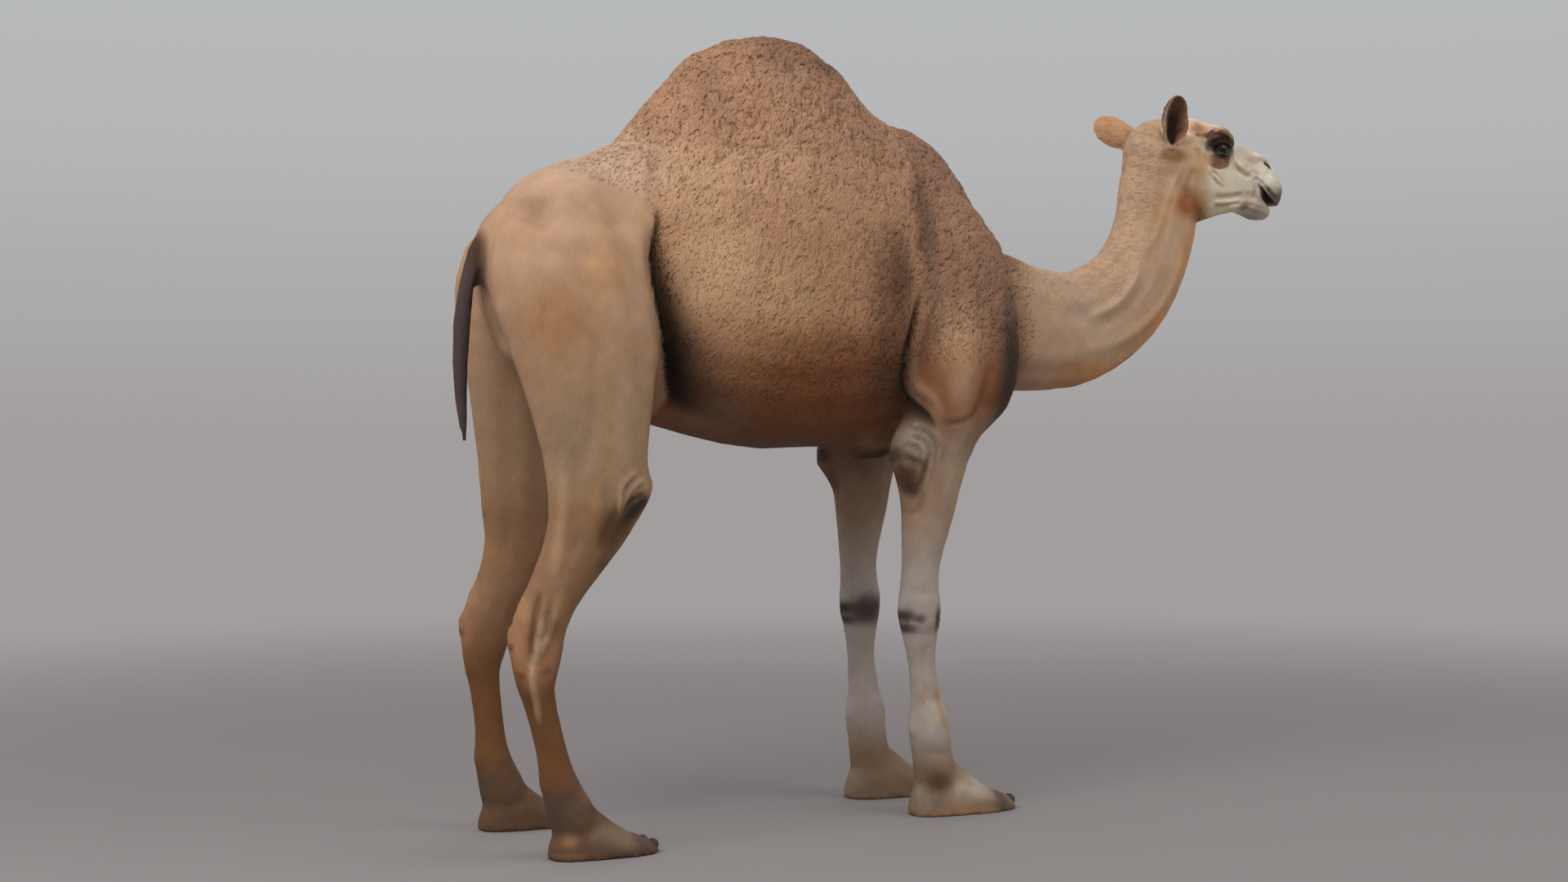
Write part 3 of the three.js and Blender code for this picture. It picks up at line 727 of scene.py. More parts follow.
def press(co, normal, line, width, height, counts=1.0):
    """Moves the skin near a line along its normals, fading out at the line's ends."""
    near = near_line(co, line, 4.5 * width)
    gap, along = to_line(co[near] * counts, line * counts)
    fade = soft(-0.03, 0.22, along) * soft(1.03, 0.78, along) if len(line) > 2 else 1.0
    co[near] += normal[near] * (height * np.exp(-(gap / width) ** 2) * fade)[:, None]


def round_eye(co, side):
    """The points near one eye, their places ahead, up and out from its middle, how far they are up
    from its slanting axis, and how far out they are with 1 at the edge of the lids."""
    centre, out, up, along = eye_frame(side)
    near = np.where(np.linalg.norm(co - centre, axis=1) < 0.075)[0]
    offset = co[near] - centre
    u, v, w = offset @ along, offset @ up, offset @ out
    near, u, v, w = (value[w > -0.01] for value in (near, u, v, w))
    slant = v + EYE_SLANT * u
    e = np.sqrt((u / EYE_WIDE) ** 2 + (slant / np.where(slant > 0, EYE_UP, EYE_DOWN)) ** 2)
    return near, u, v, w, slant, e


def by_the_lids(co):
    """1 on the skin round the lids, where it is smoothed once more."""
    total = np.zeros(len(co))
    for _, side in SIDES:
        near, _, _, _, _, e = round_eye(co, side)
        total[near] = soft(1.12, 1.30, e) * soft(2.6, 2.2, e)
    return total


def open_eye(co, side):
    """Lays the skin round one eye: inside the eyeball where the eye is open, just over it at the
    lids, and as it was beyond them, but nowhere inside the eyeball."""
    out = eye_frame(side)[1]
    near, u, v, w, slant, e = round_eye(co, side)

    def cap(over):
        return np.sqrt(np.maximum((EYEBALL * EYE_RADIUS + over) ** 2 - u ** 2 - v ** 2, 0.0))

    rim = cap((3.4 + 1.6 * soft(0.0, 0.015, slant)) * MM)
    lid = soft(0.84, 1.02, e)
    beyond = soft(1.15, 1.85, e)
    height = blend(blend(cap(-4 * MM), rim, lid), w, beyond)
    over = (e > 1) & (np.hypot(u, v) < EYE_RADIUS)
    height = np.where(over, np.maximum(height, cap(1.5 * MM)), height)
    co[near] += out * (height - w)[:, None]


def sculpted(co, normal, relief):
    """The skin with its folds, tendons and creases, at `relief` times their height."""
    co = co.copy()
    scale = relief * MM
    for _, side in SIDES:
        for limb, path, width, height in STROKES + wrinkles():
            press(co, normal, curve(placed(path, side, limb)), width * MM, height * scale,
                  flattened(limb))
    for _, side in SIDES:
        open_eye(co, side)
    cleft = curve(placed([(1.950, 0, 1.900), (1.974, 0, 1.868), (1.984, 0, 1.835),
                          (1.978, 0, 1.800)]))
    press(co, normal, cleft, 3.5 * MM, -7 * scale)
    nape = curve(placed([(1.460, -0.088, 1.868), (1.408, -0.070, 1.873), (1.378, -0.040, 1.884),
                         (1.367, 0, 1.889), (1.378, 0.040, 1.884), (1.408, 0.070, 1.873),
                         (1.460, 0.088, 1.868)]))
    press(co, normal, nape, 14 * MM, 6 * scale)
    buttocks = curve(placed([(-0.780, 0, 1.480), (-0.765, 0, 1.380), (-0.720, 0, 1.260)]))
    press(co, normal, buttocks, 26 * MM, -16 * scale)
    return co


# ---------------------------------------------------------------- parts of the body
def camel_places(p):
    """x ahead, y outward and z up, from the floor midway between the feet."""
    return p[:, 0] - AHEAD, np.abs(p[:, 1]), p[:, 2]


def spine_line():
    return curve([(x + AHEAD, 0, z) for x, z in SPINE])


def tail_line():
    """The middle of the tail from its root down to its tip, and its half width there."""
    co = vertices("tail")
    levels = np.linspace(co[:, 2].max() - 0.06, co[:, 2].min() + 0.01, 9)
    window = 0.6 * (levels[0] - levels[1])
    rings = [co[np.abs(co[:, 2] - z) < window] for z in levels]
    middles = np.array([ring.mean(0) for ring in rings])
    return middles, np.array([np.ptp(ring[:, 1]) / 2 for ring in rings])


def body_parts(p):
    """How much each point belongs to the head, neck, tail, ears, fore legs, hind legs, thighs,
    shoulders and hump, each from 0 to 1."""
    x, y, z = camel_places(p)
    ears = on_ears(p)
    head = soft(1.50, 1.58, x + 0.25 * (z - 1.9)) * soft(1.70, 1.76, z) * (1 - ears)
    neck_start = 0.80 + 0.30 * soft(1.45, 1.75, z) * 0.6
    neck = soft(neck_start, neck_start + 0.14, x) * (1 - head) * (1 - ears)
    tail_middle, tail_half = tail_line()
    gap, along = to_line(p, tail_middle)
    tail = soft(0.012, 0.006, gap - np.interp(along, np.linspace(0, 1, 9), tail_half))
    tail *= soft(-0.760, -0.785, x)
    crease = np.interp(z, [0.95, 1.15, 1.25, 1.35, 1.45, 1.53, 1.65, 1.80],
                       [-0.36, -0.305, -0.334, -0.366, -0.389, -0.391, -0.38, -0.34])
    rear = soft(crease + 0.012, crease - 0.012, x) * (1 - tail)
    fore = soft(0.30, 0.36, x) * soft(1.13, 1.03, z - 0.25 * (x - 0.5)) * soft(0.05, 0.08, y)
    hind = rear * soft(1.05, 0.85, z)
    blade = np.interp(z, [1.05, 1.20, 1.27, 1.35, 1.46, 1.80], [0.47, 0.41, 0.393, 0.405, 0.436, 0.47])
    shoulder = soft(blade - 0.012, blade + 0.014, x) * (1 - neck) * (1 - fore) * (1 - head)
    hump = soft(1.60, 1.95, z) * soft(0.72, 0.55, np.abs(x - 0.10)) * (1 - neck)
    return {"head": head, "neck": neck, "tail": tail, "ears": ears, "fore": fore * (1 - neck),
            "hind": hind, "rear": rear, "shoulder": shoulder, "hump": hump * (1 - rear)}


def coat_depth(p, part):
    """How far the skin lies inside the outline of the coat, in metres."""
    depth = blend(3.0, 6.5, wool_cover(p, part))
    for name, value in (("neck", 4.5), ("hind", 2.4), ("fore", 2.4), ("tail", 2.0), ("head", 1.5),
                        ("ears", 1.2)):
        depth = blend(depth, value, part[name])
    return blend(depth, 0.8, soft(0.20, 0.14, p[:, 2])) * MM


def wool_cover(p, part):
    """1 where the coat is curly wool: hump, back, flanks and shoulders."""
    x, _, z = camel_places(p)
    wool = soft(1.06, 1.26, z - 0.12 * np.abs(x))
    wool *= 1 - soft(-0.05, -0.34, x) * soft(1.66, 1.40, z) * 0.9
    wool *= 1 - deep_shade(p)
    wool *= 1 - part["rear"] * soft(1.76, 1.66, z + 0.25 * (x + 0.4))
    wool *= soft(-0.62, -0.44, x) * soft(1.05, 0.95, x)
    wool *= 1 - part["shoulder"] * soft(1.36, 1.24, z)
    for name in ("neck", "head", "tail", "ears", "fore", "hind"):
        wool *= 1 - part[name]
    return wool


def wool_strength(p):
    """How strongly the wool curls: most on the hump and the front."""
    x, _, z = camel_places(p)
    return 0.45 + 0.55 * np.maximum(soft(1.55, 1.86, z), 0.5 * soft(0.0, 0.35, x))


def wool_lumps(p, wool):
    """Lumps and winding pits of the curly wool, -1 to 1."""
    some = np.where(wool > 0.02)[0]
    lump = np.zeros(len(p))
    places = p[some] * np.array([1, 1, 0.72]) / 0.034
    rough = np.array([noise.noise(at) for at in places.tolist()])
    fine = np.array([noise.noise(at) for at in (places * 2.1 + 7).tolist()])
    value = rough + 0.45 * fine
    lump[some] = np.clip(1 - 2 * np.exp(-(value / 0.15) ** 2) - 0.4 * soft(0.1, 0.5, -value), -1, 1)
    return wool * wool_strength(p) * lump


def lay_of_hair(p, normal, part):
    """The way the hair points, along the surface: back and down over the body, down the legs and
    tail, from the nose back over the head, and out to the tips of the ears."""
    x, _, z = camel_places(p)

    def towards(way, other, share):
        return blend(np.array(way), np.array(other), share[:, None])

    way = towards([-0.30, 0, -0.95], [-1.0, 0, 0], soft(0.55, 0.95, normal[:, 2]))
    high = soft(1.15, 1.42, x + 0.3 * (z - 1.5))
    way = towards(way, towards([-1.0, 0, -0.35], [-0.22, 0, -1.0], high), part["neck"])
    way = towards(way, [-0.85, 0, -0.5], part["head"])
    low = np.maximum(np.maximum(part["fore"], part["hind"]), part["tail"])
    way = towards(way, [0, 0, -1.0], low)
    for name, (_, point, _) in EARS.items():
        way = towards(way, unit(np.array(point)), part["ears"] * ((p[:, 1] > 0) == (name == "left")))
    return unit(way - normal * (way * normal).sum(1, keepdims=True))


def unwrapped(p):
    """Where each point lies on a flat map of the skin: body, neck and head rolled out along the
    spine, each leg rolled out along its height below them, then the ears and tail."""
    z = p[:, 2]
    line = spine_line()
    _, along = to_line(p * (1, 0, 1), line)
    run = run_of(line) / run_of(line)[-1]
    centre, ahead = (np.stack([np.interp(along, run, row) for row in values.T], 1)
                     for values in (line, unit(np.gradient(line, axis=0))))
    up = np.stack([-ahead[:, 2], np.zeros(len(p)), ahead[:, 0]], 1)
    round_body = np.arctan2(p[:, 1], ((p - centre) * up).sum(1)) / (2 * math.pi) + 0.5
    flat = np.stack([0.02 + 0.96 * along, 0.32 + 0.66 * round_body], 1)
    part = body_parts(p)
    for k, (end, (name, side)) in enumerate((e, s) for e in ENDS for s in SIDES):
        leg = (part[end] > 0.5) & (np.sign(p[:, 1]) == side)
        low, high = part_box(f"{end}_leg_{name}")
        middle_x = np.interp(z, HEIGHTS, leg_line(end, name, HEIGHTS))
        turn = np.arctan2(p[:, 1] - (low.y + high.y) / 2, p[:, 0] - middle_x) / (2 * math.pi) + 0.5
        flat[leg] = np.stack([0.02 + 0.24 * k + 0.21 * turn, 0.02 + 0.20 * z / 1.1], 1)[leg]
    for k, (_, side) in enumerate(SIDES):
        ear = (part["ears"] > 0.5) & (np.sign(p[:, 1]) == side)
        length, across, out, _ = ear_places(p, side)
        turn = np.arctan2(out, across) / (2 * math.pi) + 0.5
        flat[ear] = np.stack([0.02 + 0.20 * k + 0.18 * turn, 0.24 + 0.3 * length], 1)[ear]
    tail = part["tail"] > 0.5
    line, _ = tail_line()
    _, length = to_line(p, line)
    turn = np.arctan2(p[:, 1], p[:, 0] - np.interp(-z, -line[:, 2], line[:, 0])) / (2 * math.pi) + 0.5
    flat[tail] = np.stack([0.45 + 0.5 * length, 0.24 + 0.05 * turn], 1)[tail]
    return flat


# ---------------------------------------------------------------- markings
# Colour and limb that it moves with, then spots with a comma between them: middle on the right
# side, radii along, across and up, in millimetres, and strength in percent.
# Some spots paint light and shade. The spots of shade under the ear's root are a painted shadow. The
# dark brow spot between the brow and the eye is the painted shadow under the brow. The pale
# muzzle-coloured spot in the middle of the cheek is a painted sheen.
SPOTS = [(*first.split(), numbers(spot)) for first, spots in table("""
hump_dark body | 220 0 2130 230 200 150 90, 300 -120 1900 150 120 140 20, -160 -100 1980 60 120 110 30
croup body | -550 -100 1760 190 160 90 85
hip_brown body | -700 -190 1620 46 60 64 85, -500 -180 1660 46 70 70 45
croup body | -640 -200 1560 45 90 90 55
cheek_orange body | -550 -310 1470 80 90 80 70
gold body | -690 -300 1330 100 90 90 65, -460 -300 1270 60 90 50 15
pale_thigh body | -500 -330 1080 60 80 110 45
taupe body | -660 -310 1030 60 80 130 40
pale_flank body | -220 -280 1500 120 120 130 85, -280 -200 1730 140 120 110 70
hump_dark body | 550 -100 1840 110 110 70 35
pale_flank body | -20 -300 1420 110 120 60 35, -50 -220 1760 170 120 90 35
chest body | 360 -270 1500 45 90 130 42, 470 -220 1660 34 90 140 35
belly body | 120 -280 1220 240 120 130 50
belly_low body | 50 0 980 420 240 100 80
breast body | -200 -180 1060 120 120 100 80
belly body | 160 -240 1200 210 140 100 60
stifle_brown body | 330 -200 1200 80 140 130 75, 310 -270 1420 80 90 170 48
croup body | -400 -120 1760 100 120 90 75
chest body | 720 -220 1240 60 130 190 90, 760 0 1220 110 200 190 90
callus body | 470 0 965 110 85 60 95
breast body | 600 -170 1040 90 90 60 60
forearm_pale body | 545 -290 1170 45 60 70 45
neck_orange body | 1570 0 1580 80 130 150 65, 1470 0 1370 120 140 80 85, 1220 0 1240 190 150 70 85
nape body | 1360 0 1760 60 90 130 70, 1400 0 1930 70 90 60 40
neck_pale body | 1480 -90 1680 40 40 130 55, 1180 -110 1400 130 60 30 60
neck_shadow body | 1100 -100 1520 160 60 40 50, 1130 -100 1440 90 60 30 60
jowl body | 1535 -75 1770 48 60 40 90, 1605 0 1735 50 70 30 55
elbow fore | 420 -230 1040 62 60 80 85
stifle_brown fore | 400 -200 990 40 60 36 60, 412 -200 935 36 50 44 92
callus fore | 424 -210 905 24 34 20 55, 375 -190 1000 14 44 24 60
forearm_pale fore | 560 -220 950 50 60 130 45
callus fore | 422 -170 556 32 44 20 92, 430 -170 522 26 44 15 80, 448 -210 550 16 30 13 60,
  475 -115 550 75 36 44 85, 510 -218 545 13 30 34 80, 545 -170 565 26 40 42 75
cannon_orange fore | 470 -210 330 14 40 34 35
cannon_pale fore | 490 -220 278 26 40 40 70, 530 -200 330 30 50 100 60, 600 -200 65 90 70 46 90
cannon_orange fore | 580 -220 8 110 90 14 75, 570 -240 40 34 60 18 35
cannon_pale fore | 470 -220 60 22 70 40 60
stifle_brown fore | 510 -220 95 42 60 32 80
foot_dark fore | 480 -200 55 40 60 30 30
cannon_pale fore | 625 -240 68 40 60 26 70
stifle_brown hind | -545 -300 820 40 50 56 85, -505 -290 832 34 50 44 85
callus hind | -480 -295 862 25 50 26 85, -450 -280 885 20 50 22 80
gaskin_shadow hind | -558 -280 730 26 50 20 70, -530 -270 700 34 50 110 40
hock_pink hind | -778 -250 535 26 44 52 85
stifle_brown hind | -794 -240 532 8 22 12 60
cannon_orange hind | -765 -255 630 20 44 50 60
hock_pink hind | -735 -270 480 46 40 44 70, -690 -280 520 26 40 40 55
cannon_dark hind | -700 -220 300 60 60 130 55
foot_dark hind | -675 -260 115 34 60 46 90, -620 -280 128 40 60 18 60
taupe hind | -545 -280 58 64 60 30 80
hock_pink hind | -648 -285 52 22 40 20 55, -600 -260 160 30 50 22 30
cannon_orange hind | -650 -280 14 40 60 8 40
taupe hind | -500 -290 40 40 60 26 70
foot_dark hind | -440 -260 40 40 80 26 75
foot_dark fore | 712 -200 30 30 90 34 92
cannon_pale body | 1200 -80 1300 110 60 50 30
pale_flank body | 540 -280 1310 74 60 110 60
gold body | 1600 -70 2000 44 60 34 80
cheek_orange body | 1576 -98 1905 24 30 48 60, 1590 -90 1815 30 40 50 35
jowl body | 1585 -63 1762 46 40 30 75, 1615 -48 1733 50 40 16 70
cheek_light body | 1700 -80 1835 60 50 34 65
ear_smudge body | 1485 -90 1915 40 30 18 85
muzzle body | 1780 0 1950 70 90 36 75, 1880 0 1860 80 90 60 90
muzzle_dark body | 1960 -30 1815 34 60 44 90
nostril_skin body | 1890 -46 1932 34 24 12 75
nose_brown body | 1835 -50 1925 34 20 14 60, 1785 -64 1893 40 20 11 50
lip_pink body | 1880 0 1780 56 80 40 85
lip_brown body | 1818 -42 1780 22 24 20 80
cheek_orange body | 1846 -50 1828 12 24 26 60
inner_lip body | 1928 -38 1816 38 30 15 80
pouch body | 1655 -95 1907 40 28 22 100, 1695 -86 1915 20 24 22 85
brow_brown body | 1650 -90 1992 60 34 25 90, 1700 -80 2002 32 34 20 80, 1579 -87 1982 9 20 7 75
brow_dark body | 1732 -64 1962 15 26 36 92, 1716 -70 1998 16 20 9 55, 1668 -96 1921 42 26 9 75
lid body | 1620 -96 1945 16 26 18 60
nostril_skin body | 1800 -30 1950 60 50 26 45
muzzle_dark body | 1935 -50 1850 36 40 40 20
cheek_orange body | 1450 -90 1740 50 50 70 65, 1602 -97 1914 19 30 28 70, 1580 -94 1850 30 40 60 40
muzzle body | 1625 -90 1828 44 40 30 40
ear_smudge body | 1478 -92 1908 44 30 20 90
brow_dark body | 1665 -92 1973 58 34 13 90
lid body | 1668 -95 1947 40 40 25 100, 1702 -85 1945 30 40 32 100, 1632 -93 1958 22 24 11 85
""") for spot in spots.split(",")]
# The same along lines: colour and limb, path, half width in millimetres and strength in percent.
# Some streaks paint light and shade. Painted shadow: the dark streak in the fold over the forearm, the
# streaks in the cheek's creases, the brown streaks in the hock's groove and beside the shank tendon,
# the brown streak under the nose fold, the dark lid line under the brow, and the near-black streaks in
# the nostril and along the mouth. Painted highlight: the pale streaks on the rolls of the brow, on the
# folds behind the eye, on the fold at the mouth's corner, on the rim of the nostril, on the ridge
# under the cheek crease, and on the tendons of the hock.
STREAKS = [(*first.split(), path_of(path), *numbers(last)) for first, path, last in table("""
forearm_pale body | 393 -243 1270, 410 -222 1197, 444 -229 1148, 470 -250 1095 @ 24 | 18 45
callus hind | -445 -285 900, -475 -297 868, -520 -305 835 | 10 60
crease_dark fore | fold over forearm | 7 12
hip_brown body | -400 -210 1620, -370 -170 1720, -330 -120 1800 | 14 50
callus fore | 398 -210 1000, 430 -240 985, 462 -240 955 | 8 70
cannon_orange hind | -579 -318 985, -583 -314 930, -592 -308 860 | 14 55
pale_thigh hind | -668 -282 1000, -670 -275 900, -682 -278 780, -692 -285 670 | 16 45
bone hind | -748 -277 492, -735 -283 554, -722 -283 605 | 8 85
bone hind | -748 -277 492, -726 -282 531, -705 -284 566 | 9 95
bone hind | shank tendon | 7.5 95
stifle_brown hind | hock groove | 7 90
stifle_brown hind | -775 -250 468, -764 -265 459 | 9 60
stifle_brown hind | -725 -280 469, -696 -278 479 | 9 55
callus hind | stifle crease | 6 85
stifle_brown hind | -534 -311 875, -545 -309 850, -563 -304 815, -577 -300 785 | 11 85
taupe hind | -570 -316 955, -569 -313 885 | 12 55
stifle_brown fore | elbow crease | 9 85
cannon_olive fore | 425 -150 860, 431 -196 846, 450 -218 864, 458 -229 912 | 9 60
cannon_orange fore | 506 -207 360, 516 -212 320, 526 -222 265, 545 -216 236 | 11 75
cannon_pale fore | 426 -199 535, 448 -216 542 | 3 80
cannon_pale fore | 474 -176 80, 462 -196 30 | 3.5 70
stifle_brown hind | -752 -262 420, -742 -262 340 | 7 60
stifle_brown hind | -700 -262 430, -690 -262 330 | 9 50
pale_thigh hind | -705 -284 566, -681 -286 630 @ 0 30 | 12 40
gaskin_shadow hind | shin hollow | 13 22
neck_pale body | neck ridge | 11 75
neck_shadow body | neck ridge @ 24 -34 | 14 55
cheek_crease body | cheek crease | 9 45
cheek_light body | cheek crease @ 2 -14 | 7 40
cheek_crease body | 1667 -64 1772, 1695 -55 1772, 1753 -48 1779 | 5 42
cheek_orange body | 1626 -98 1876, 1640 -95 1871, 1654 -93 1867 | 4 80
cheek_orange body | 1637 -93 1857, 1659 -87 1844, 1696 -76 1832 | 6 75
cheek_light body | 1640 -95 1868, 1665 -90 1858, 1700 -80 1850 | 4 60
temple_light body | 1554 -93 1949, 1569 -94 1945, 1584 -96 1934, 1590 -97 1919 | 4 80
temple_light body | 1590 -90 1969, 1614 -89 1974 | 4.5 75
brow_brown body | 1600 -96 1985, 1622 -97 1999, 1650 -95 2016 | 2.5 85
brow_brown body | 1556 -94 1938, 1570 -95 1931, 1580 -97 1915 | 3.5 55
cheek_crease body | 1728 -80 1912, 1745 -74 1930 | 4 30
muzzle_light body | 1799 -62 1866, 1825 -59 1871, 1851 -57 1870, 1871 -58 1866, 1887 -60 1854 | 5 75
cheek_orange body | 1790 -62 1876, 1830 -58 1880, 1865 -57 1877 | 4 50
nose_brown body | nose fold @ 4 -13 | 5 30
muzzle_light body | 1876 -49 1924, 1891 -52 1914, 1907 -53 1902, 1925 -53 1892 | 3.5 80
mouth body | nostril | 5 100
mouth body | 1860 -50 1850, 1872 -48 1838, 1888 -44 1820, 1905 -38 1802, 1925 -30 1786 | 6 100
mouth body | 1890 -50 1846, 1905 -44 1834, 1922 -30 1820, 1942 -20 1803, 1955 -16 1795 | 5 85
inner_lip body | 1904 -52 1842, 1934 -47 1813, 1962 -35 1801 | 5 75
mouth body | 1874 -10 1838, 1902 -10 1810, 1930 -10 1787 | 12 100
brow_light body | 1603 -83 1989, 1624 -78 2002, 1647 -75 2009 | 8 100
brow_light body | 1638 -82 1988, 1648 -81 1997, 1661 -80 2005, 1678 -78 2005 | 5.5 95
brow_light body | 1654 -84 1984, 1668 -82 1993, 1686 -76 1998 | 2.5 50
brow_dark body | 1613 -98 1898, 1630 -97 1888, 1664 -93 1884, 1694 -86 1891, 1713 -82 1904 | 3.5 60
lid body | 1616 -91 1964, 1654 -86 1975, 1683 -83 1982, 1713 -75 1978, 1733 -67 1960 | 3.5 85
""")]


def palette():
    """The colours set in the panel, by name."""
    held = bpy.context.scene.camel_colours
    return {name: np.array(getattr(held, name)) for name in held.__annotations__}


def mixed(colour, other, share):
    return colour + (other - colour) * share[:, None]


def spot_at(spot, side, limb):
    place, radii, percent = np.split(np.array(spot), [3, 6])
    return placed([place / 1000], side, limb)[0], radii * MM, percent / 100


def markings(p, normal, part):
    """The colour of the coat and skin at each point."""
    shade = {name: colour ** (1 / 2.2) for name, colour in palette().items()}
    x, y, z = camel_places(p)
    c = np.tile(shade["tan"], (len(p), 1))
    wool = wool_cover(p, part)
    # inner marks the low sides of the legs that face each other. Their colour is darkened there as a
    # painted shade.
    inner = soft(0.19, 0.11, y) * soft(1.0, 0.85, z)
    for name, share in (
            ("wool", wool * soft(1.42, 1.78, z)),
            ("haunch", part["rear"]),
            ("shoulder", part["shoulder"]),
            ("belly", (1 - part["rear"]) * soft(1.38, 1.04, z - 0.10 * x)),
            ("thigh", part["rear"] * soft(1.40, 1.05, z)),
            ("neck", part["neck"]),
            ("gaskin", part["hind"] * soft(1.02, 0.80, z)),
            ("cannon_dark", part["hind"] * soft(0.62, 0.40, z)),
            ("hind_foot", part["hind"] * soft(0.24, 0.14, z)),
            ("forearm", part["fore"]),
            ("cannon", part["fore"] * soft(0.90, 0.62, z)),
            ("fore_foot", part["fore"] * soft(0.24, 0.12, z)),
            ("inner side", inner),
            ("cheek_tan", part["head"]),
            ("cheek_light", part["head"] * soft(1.56, 1.66, x + 0.3 * (z - 1.86))),
            ("crown", part["head"] * soft(1.955, 1.985, z) * soft(1.70, 1.60, x))):
        c = mixed(c, c * 0.93 if name == "inner side" else shade[name], share)
    for name, limb, spot in SPOTS:
        for _, side in SIDES if spot[1] else SIDES[:1]:
            at, reach, strength = spot_at(spot, side, limb)
            near = np.where((np.abs(p - at) < 2.3 * reach).all(1))[0]
            far = (((p[near] - at) / reach) ** 2).sum(1)
            ragged = np.clip(1 + 0.22 * waves(p[near], 0.8 * min(reach), 3), 0.7, 1.4)
            c[near] = mixed(c[near], shade[name], strength * np.exp(-far ** 1.5 * ragged))
    # A painted shadow darkens the creases ahead of the thighs and behind the upper arms. It is sharp
    # on the limb's side and fades out over the flank.
    c = mixed(c, shade["crease_dark"], deep_shade(p))
    # Round the elbows the grooves beside the folds are painted brown as a painted shade, and the folds
    # pale as a painted highlight. Round the stifles the folds are painted pale as a highlight.
    arcs = [("stifle_brown", "fore", beside(arc, -0.009, -0.012), 5, 60) for arc in ELBOW_ARCS]
    arcs += [("cannon_pale", "fore", arc, 4.5, 75) for arc in ELBOW_ARCS]
    arcs += [("bone", "hind", arc, 6, 80) for arc in STIFLE_ARCS]
    for name, limb, path, width, strength in STREAKS + arcs:
        for _, side in SIDES:
            line = curve(placed(path, side, limb))
            near = near_line(p, line, 4 * width * MM)
            gap, along = to_line(p[near] * flattened(limb), line * flattened(limb))
            share = strength / 100 * np.exp(-(gap / (width * MM)) ** 2.2)
            share *= 0.2 + 0.8 * soft(-0.05, 0.2, along) * soft(1.05, 0.8, along)
            c[near] = mixed(c[near], shade[name], share)
    for _, side in SIDES:
        along, across, out, hollow = ear_places(p, side)
        ear = part["ears"] * (np.sign(p[:, 1]) == side)
        c = mixed(c, shade["ear_back"], ear)
        length = np.sqrt(np.clip(1 - ((along - 0.071) / 0.083) ** 2, 0, 1)) + 1e-4
        front = soft(-0.05, 0.25, normal @ hollow) * (np.sign(p[:, 1]) == side)
        front *= soft(0.045, 0.035, np.abs(out + 0.008))
        front *= soft(1.06, 0.96, np.abs(across - 0.003) / (0.047 * length))
        c = mixed(c, shade["ear_rim"], front)
        place = (across - 0.006) / (0.034 * length)
        c = mixed(c, shade["ear_pale"], front * soft(-1.25, -1.0, place) * soft(-0.60, -0.85, place))
        c = mixed(c, shade["ear_inside"], front * soft(-0.95, -0.60, place) * soft(1.15, 0.45, place))
        # The deepest part of the ear's hollow is painted nearly black: a painted shadow.
        deep = soft(-0.75, -0.45, place) * soft(0.55, 0.0, place) * soft(0.115, 0.06, along)
        c = mixed(c, shade["mouth"], front * deep * 0.75)
    c = mixed(c, shade["tail_root"], part["tail"] * soft(1.63, 1.57, z))
    c = mixed(c, shade["tail"], part["tail"] * soft(1.58, 1.42, z))
    # The pits between the lumps of the wool are painted darker, a painted shade. The waves vary the
    # tone at random.
    pits = soft(0.0, -1.0, wool_lumps(p, wool))
    c = c * (1 + 0.022 * waves(p, 0.16, 11) + 0.018 * waves(p, 0.05, 12) - 0.17 * pits)[:, None]
    return np.clip(c, 0, 1) ** 2.2


def crinkled(p, part):
    """1 where the hair lies in short ripples: crown, nape and the backs of the ears."""
    x, _, z = camel_places(p)
    crown = part["head"] * soft(1.94, 1.98, z) * soft(1.72, 1.60, x)
    nape = part["neck"] * soft(1.36, 1.60, z) * soft(0.10, -0.02, x - 1.36 - 0.35 * (z - 1.70))
    return np.clip(crown + nape + 0.8 * part["ears"], 0, 1)


def deep_shade(p):
    """1 at the bottom of the creases ahead of the thigh and behind the upper arm. Each has a sharp
    edge on the limb's side and fades out over the flank."""
    x, y, z = camel_places(p)
    edge = np.interp(z, [1.08, 1.15, 1.25, 1.35, 1.45, 1.53, 1.64],
                     [-0.300, -0.305, -0.334, -0.366, -0.389, -0.391, -0.378])
    wide = np.interp(z, [1.10, 1.25, 1.38, 1.48, 1.56, 1.64],
                     [0.085, 0.070, 0.046, 0.028, 0.012, 0.006])
    ahead = x - edge - 0.004
    thigh = soft(-0.006, 0.003, ahead) * np.exp(-(np.maximum(ahead, 0) / wide) ** 1.5)
    thigh *= soft(1.66, 1.60, z) * soft(1.02, 1.12, z)
    edge = np.interp(z, [1.09, 1.15, 1.20, 1.27, 1.35, 1.46],
                     [0.470, 0.444, 0.410, 0.393, 0.408, 0.436])
    wide = np.interp(z, [1.08, 1.20, 1.32, 1.46], [0.050, 0.045, 0.022, 0.008])
    behind = edge - x
    arm = soft(-0.006, 0.003, behind) * np.exp(-(np.maximum(behind, 0) / wide) ** 1.5)
    arm *= soft(1.48, 1.34, z) * soft(1.06, 1.12, z)
    return np.maximum(thigh, arm) * soft(0.11, 0.17, y)


def bareness(p):
    """1 on hide without hair: lids, lips, calluses, the elbows and the soles."""
    bare = np.zeros(len(p))
    for name, limb, spot in SPOTS:
        if name in ("callus", "lid", "lip_pink", "elbow"):
            for _, side in SIDES:
                at, reach, _ = spot_at(spot, side, limb)
                far = (((p - at) / reach) ** 2).sum(1)
                bare = np.maximum(bare, np.exp(-far ** 1.3))
    return np.maximum(bare, soft(0.03, 0.012, p[:, 2]))


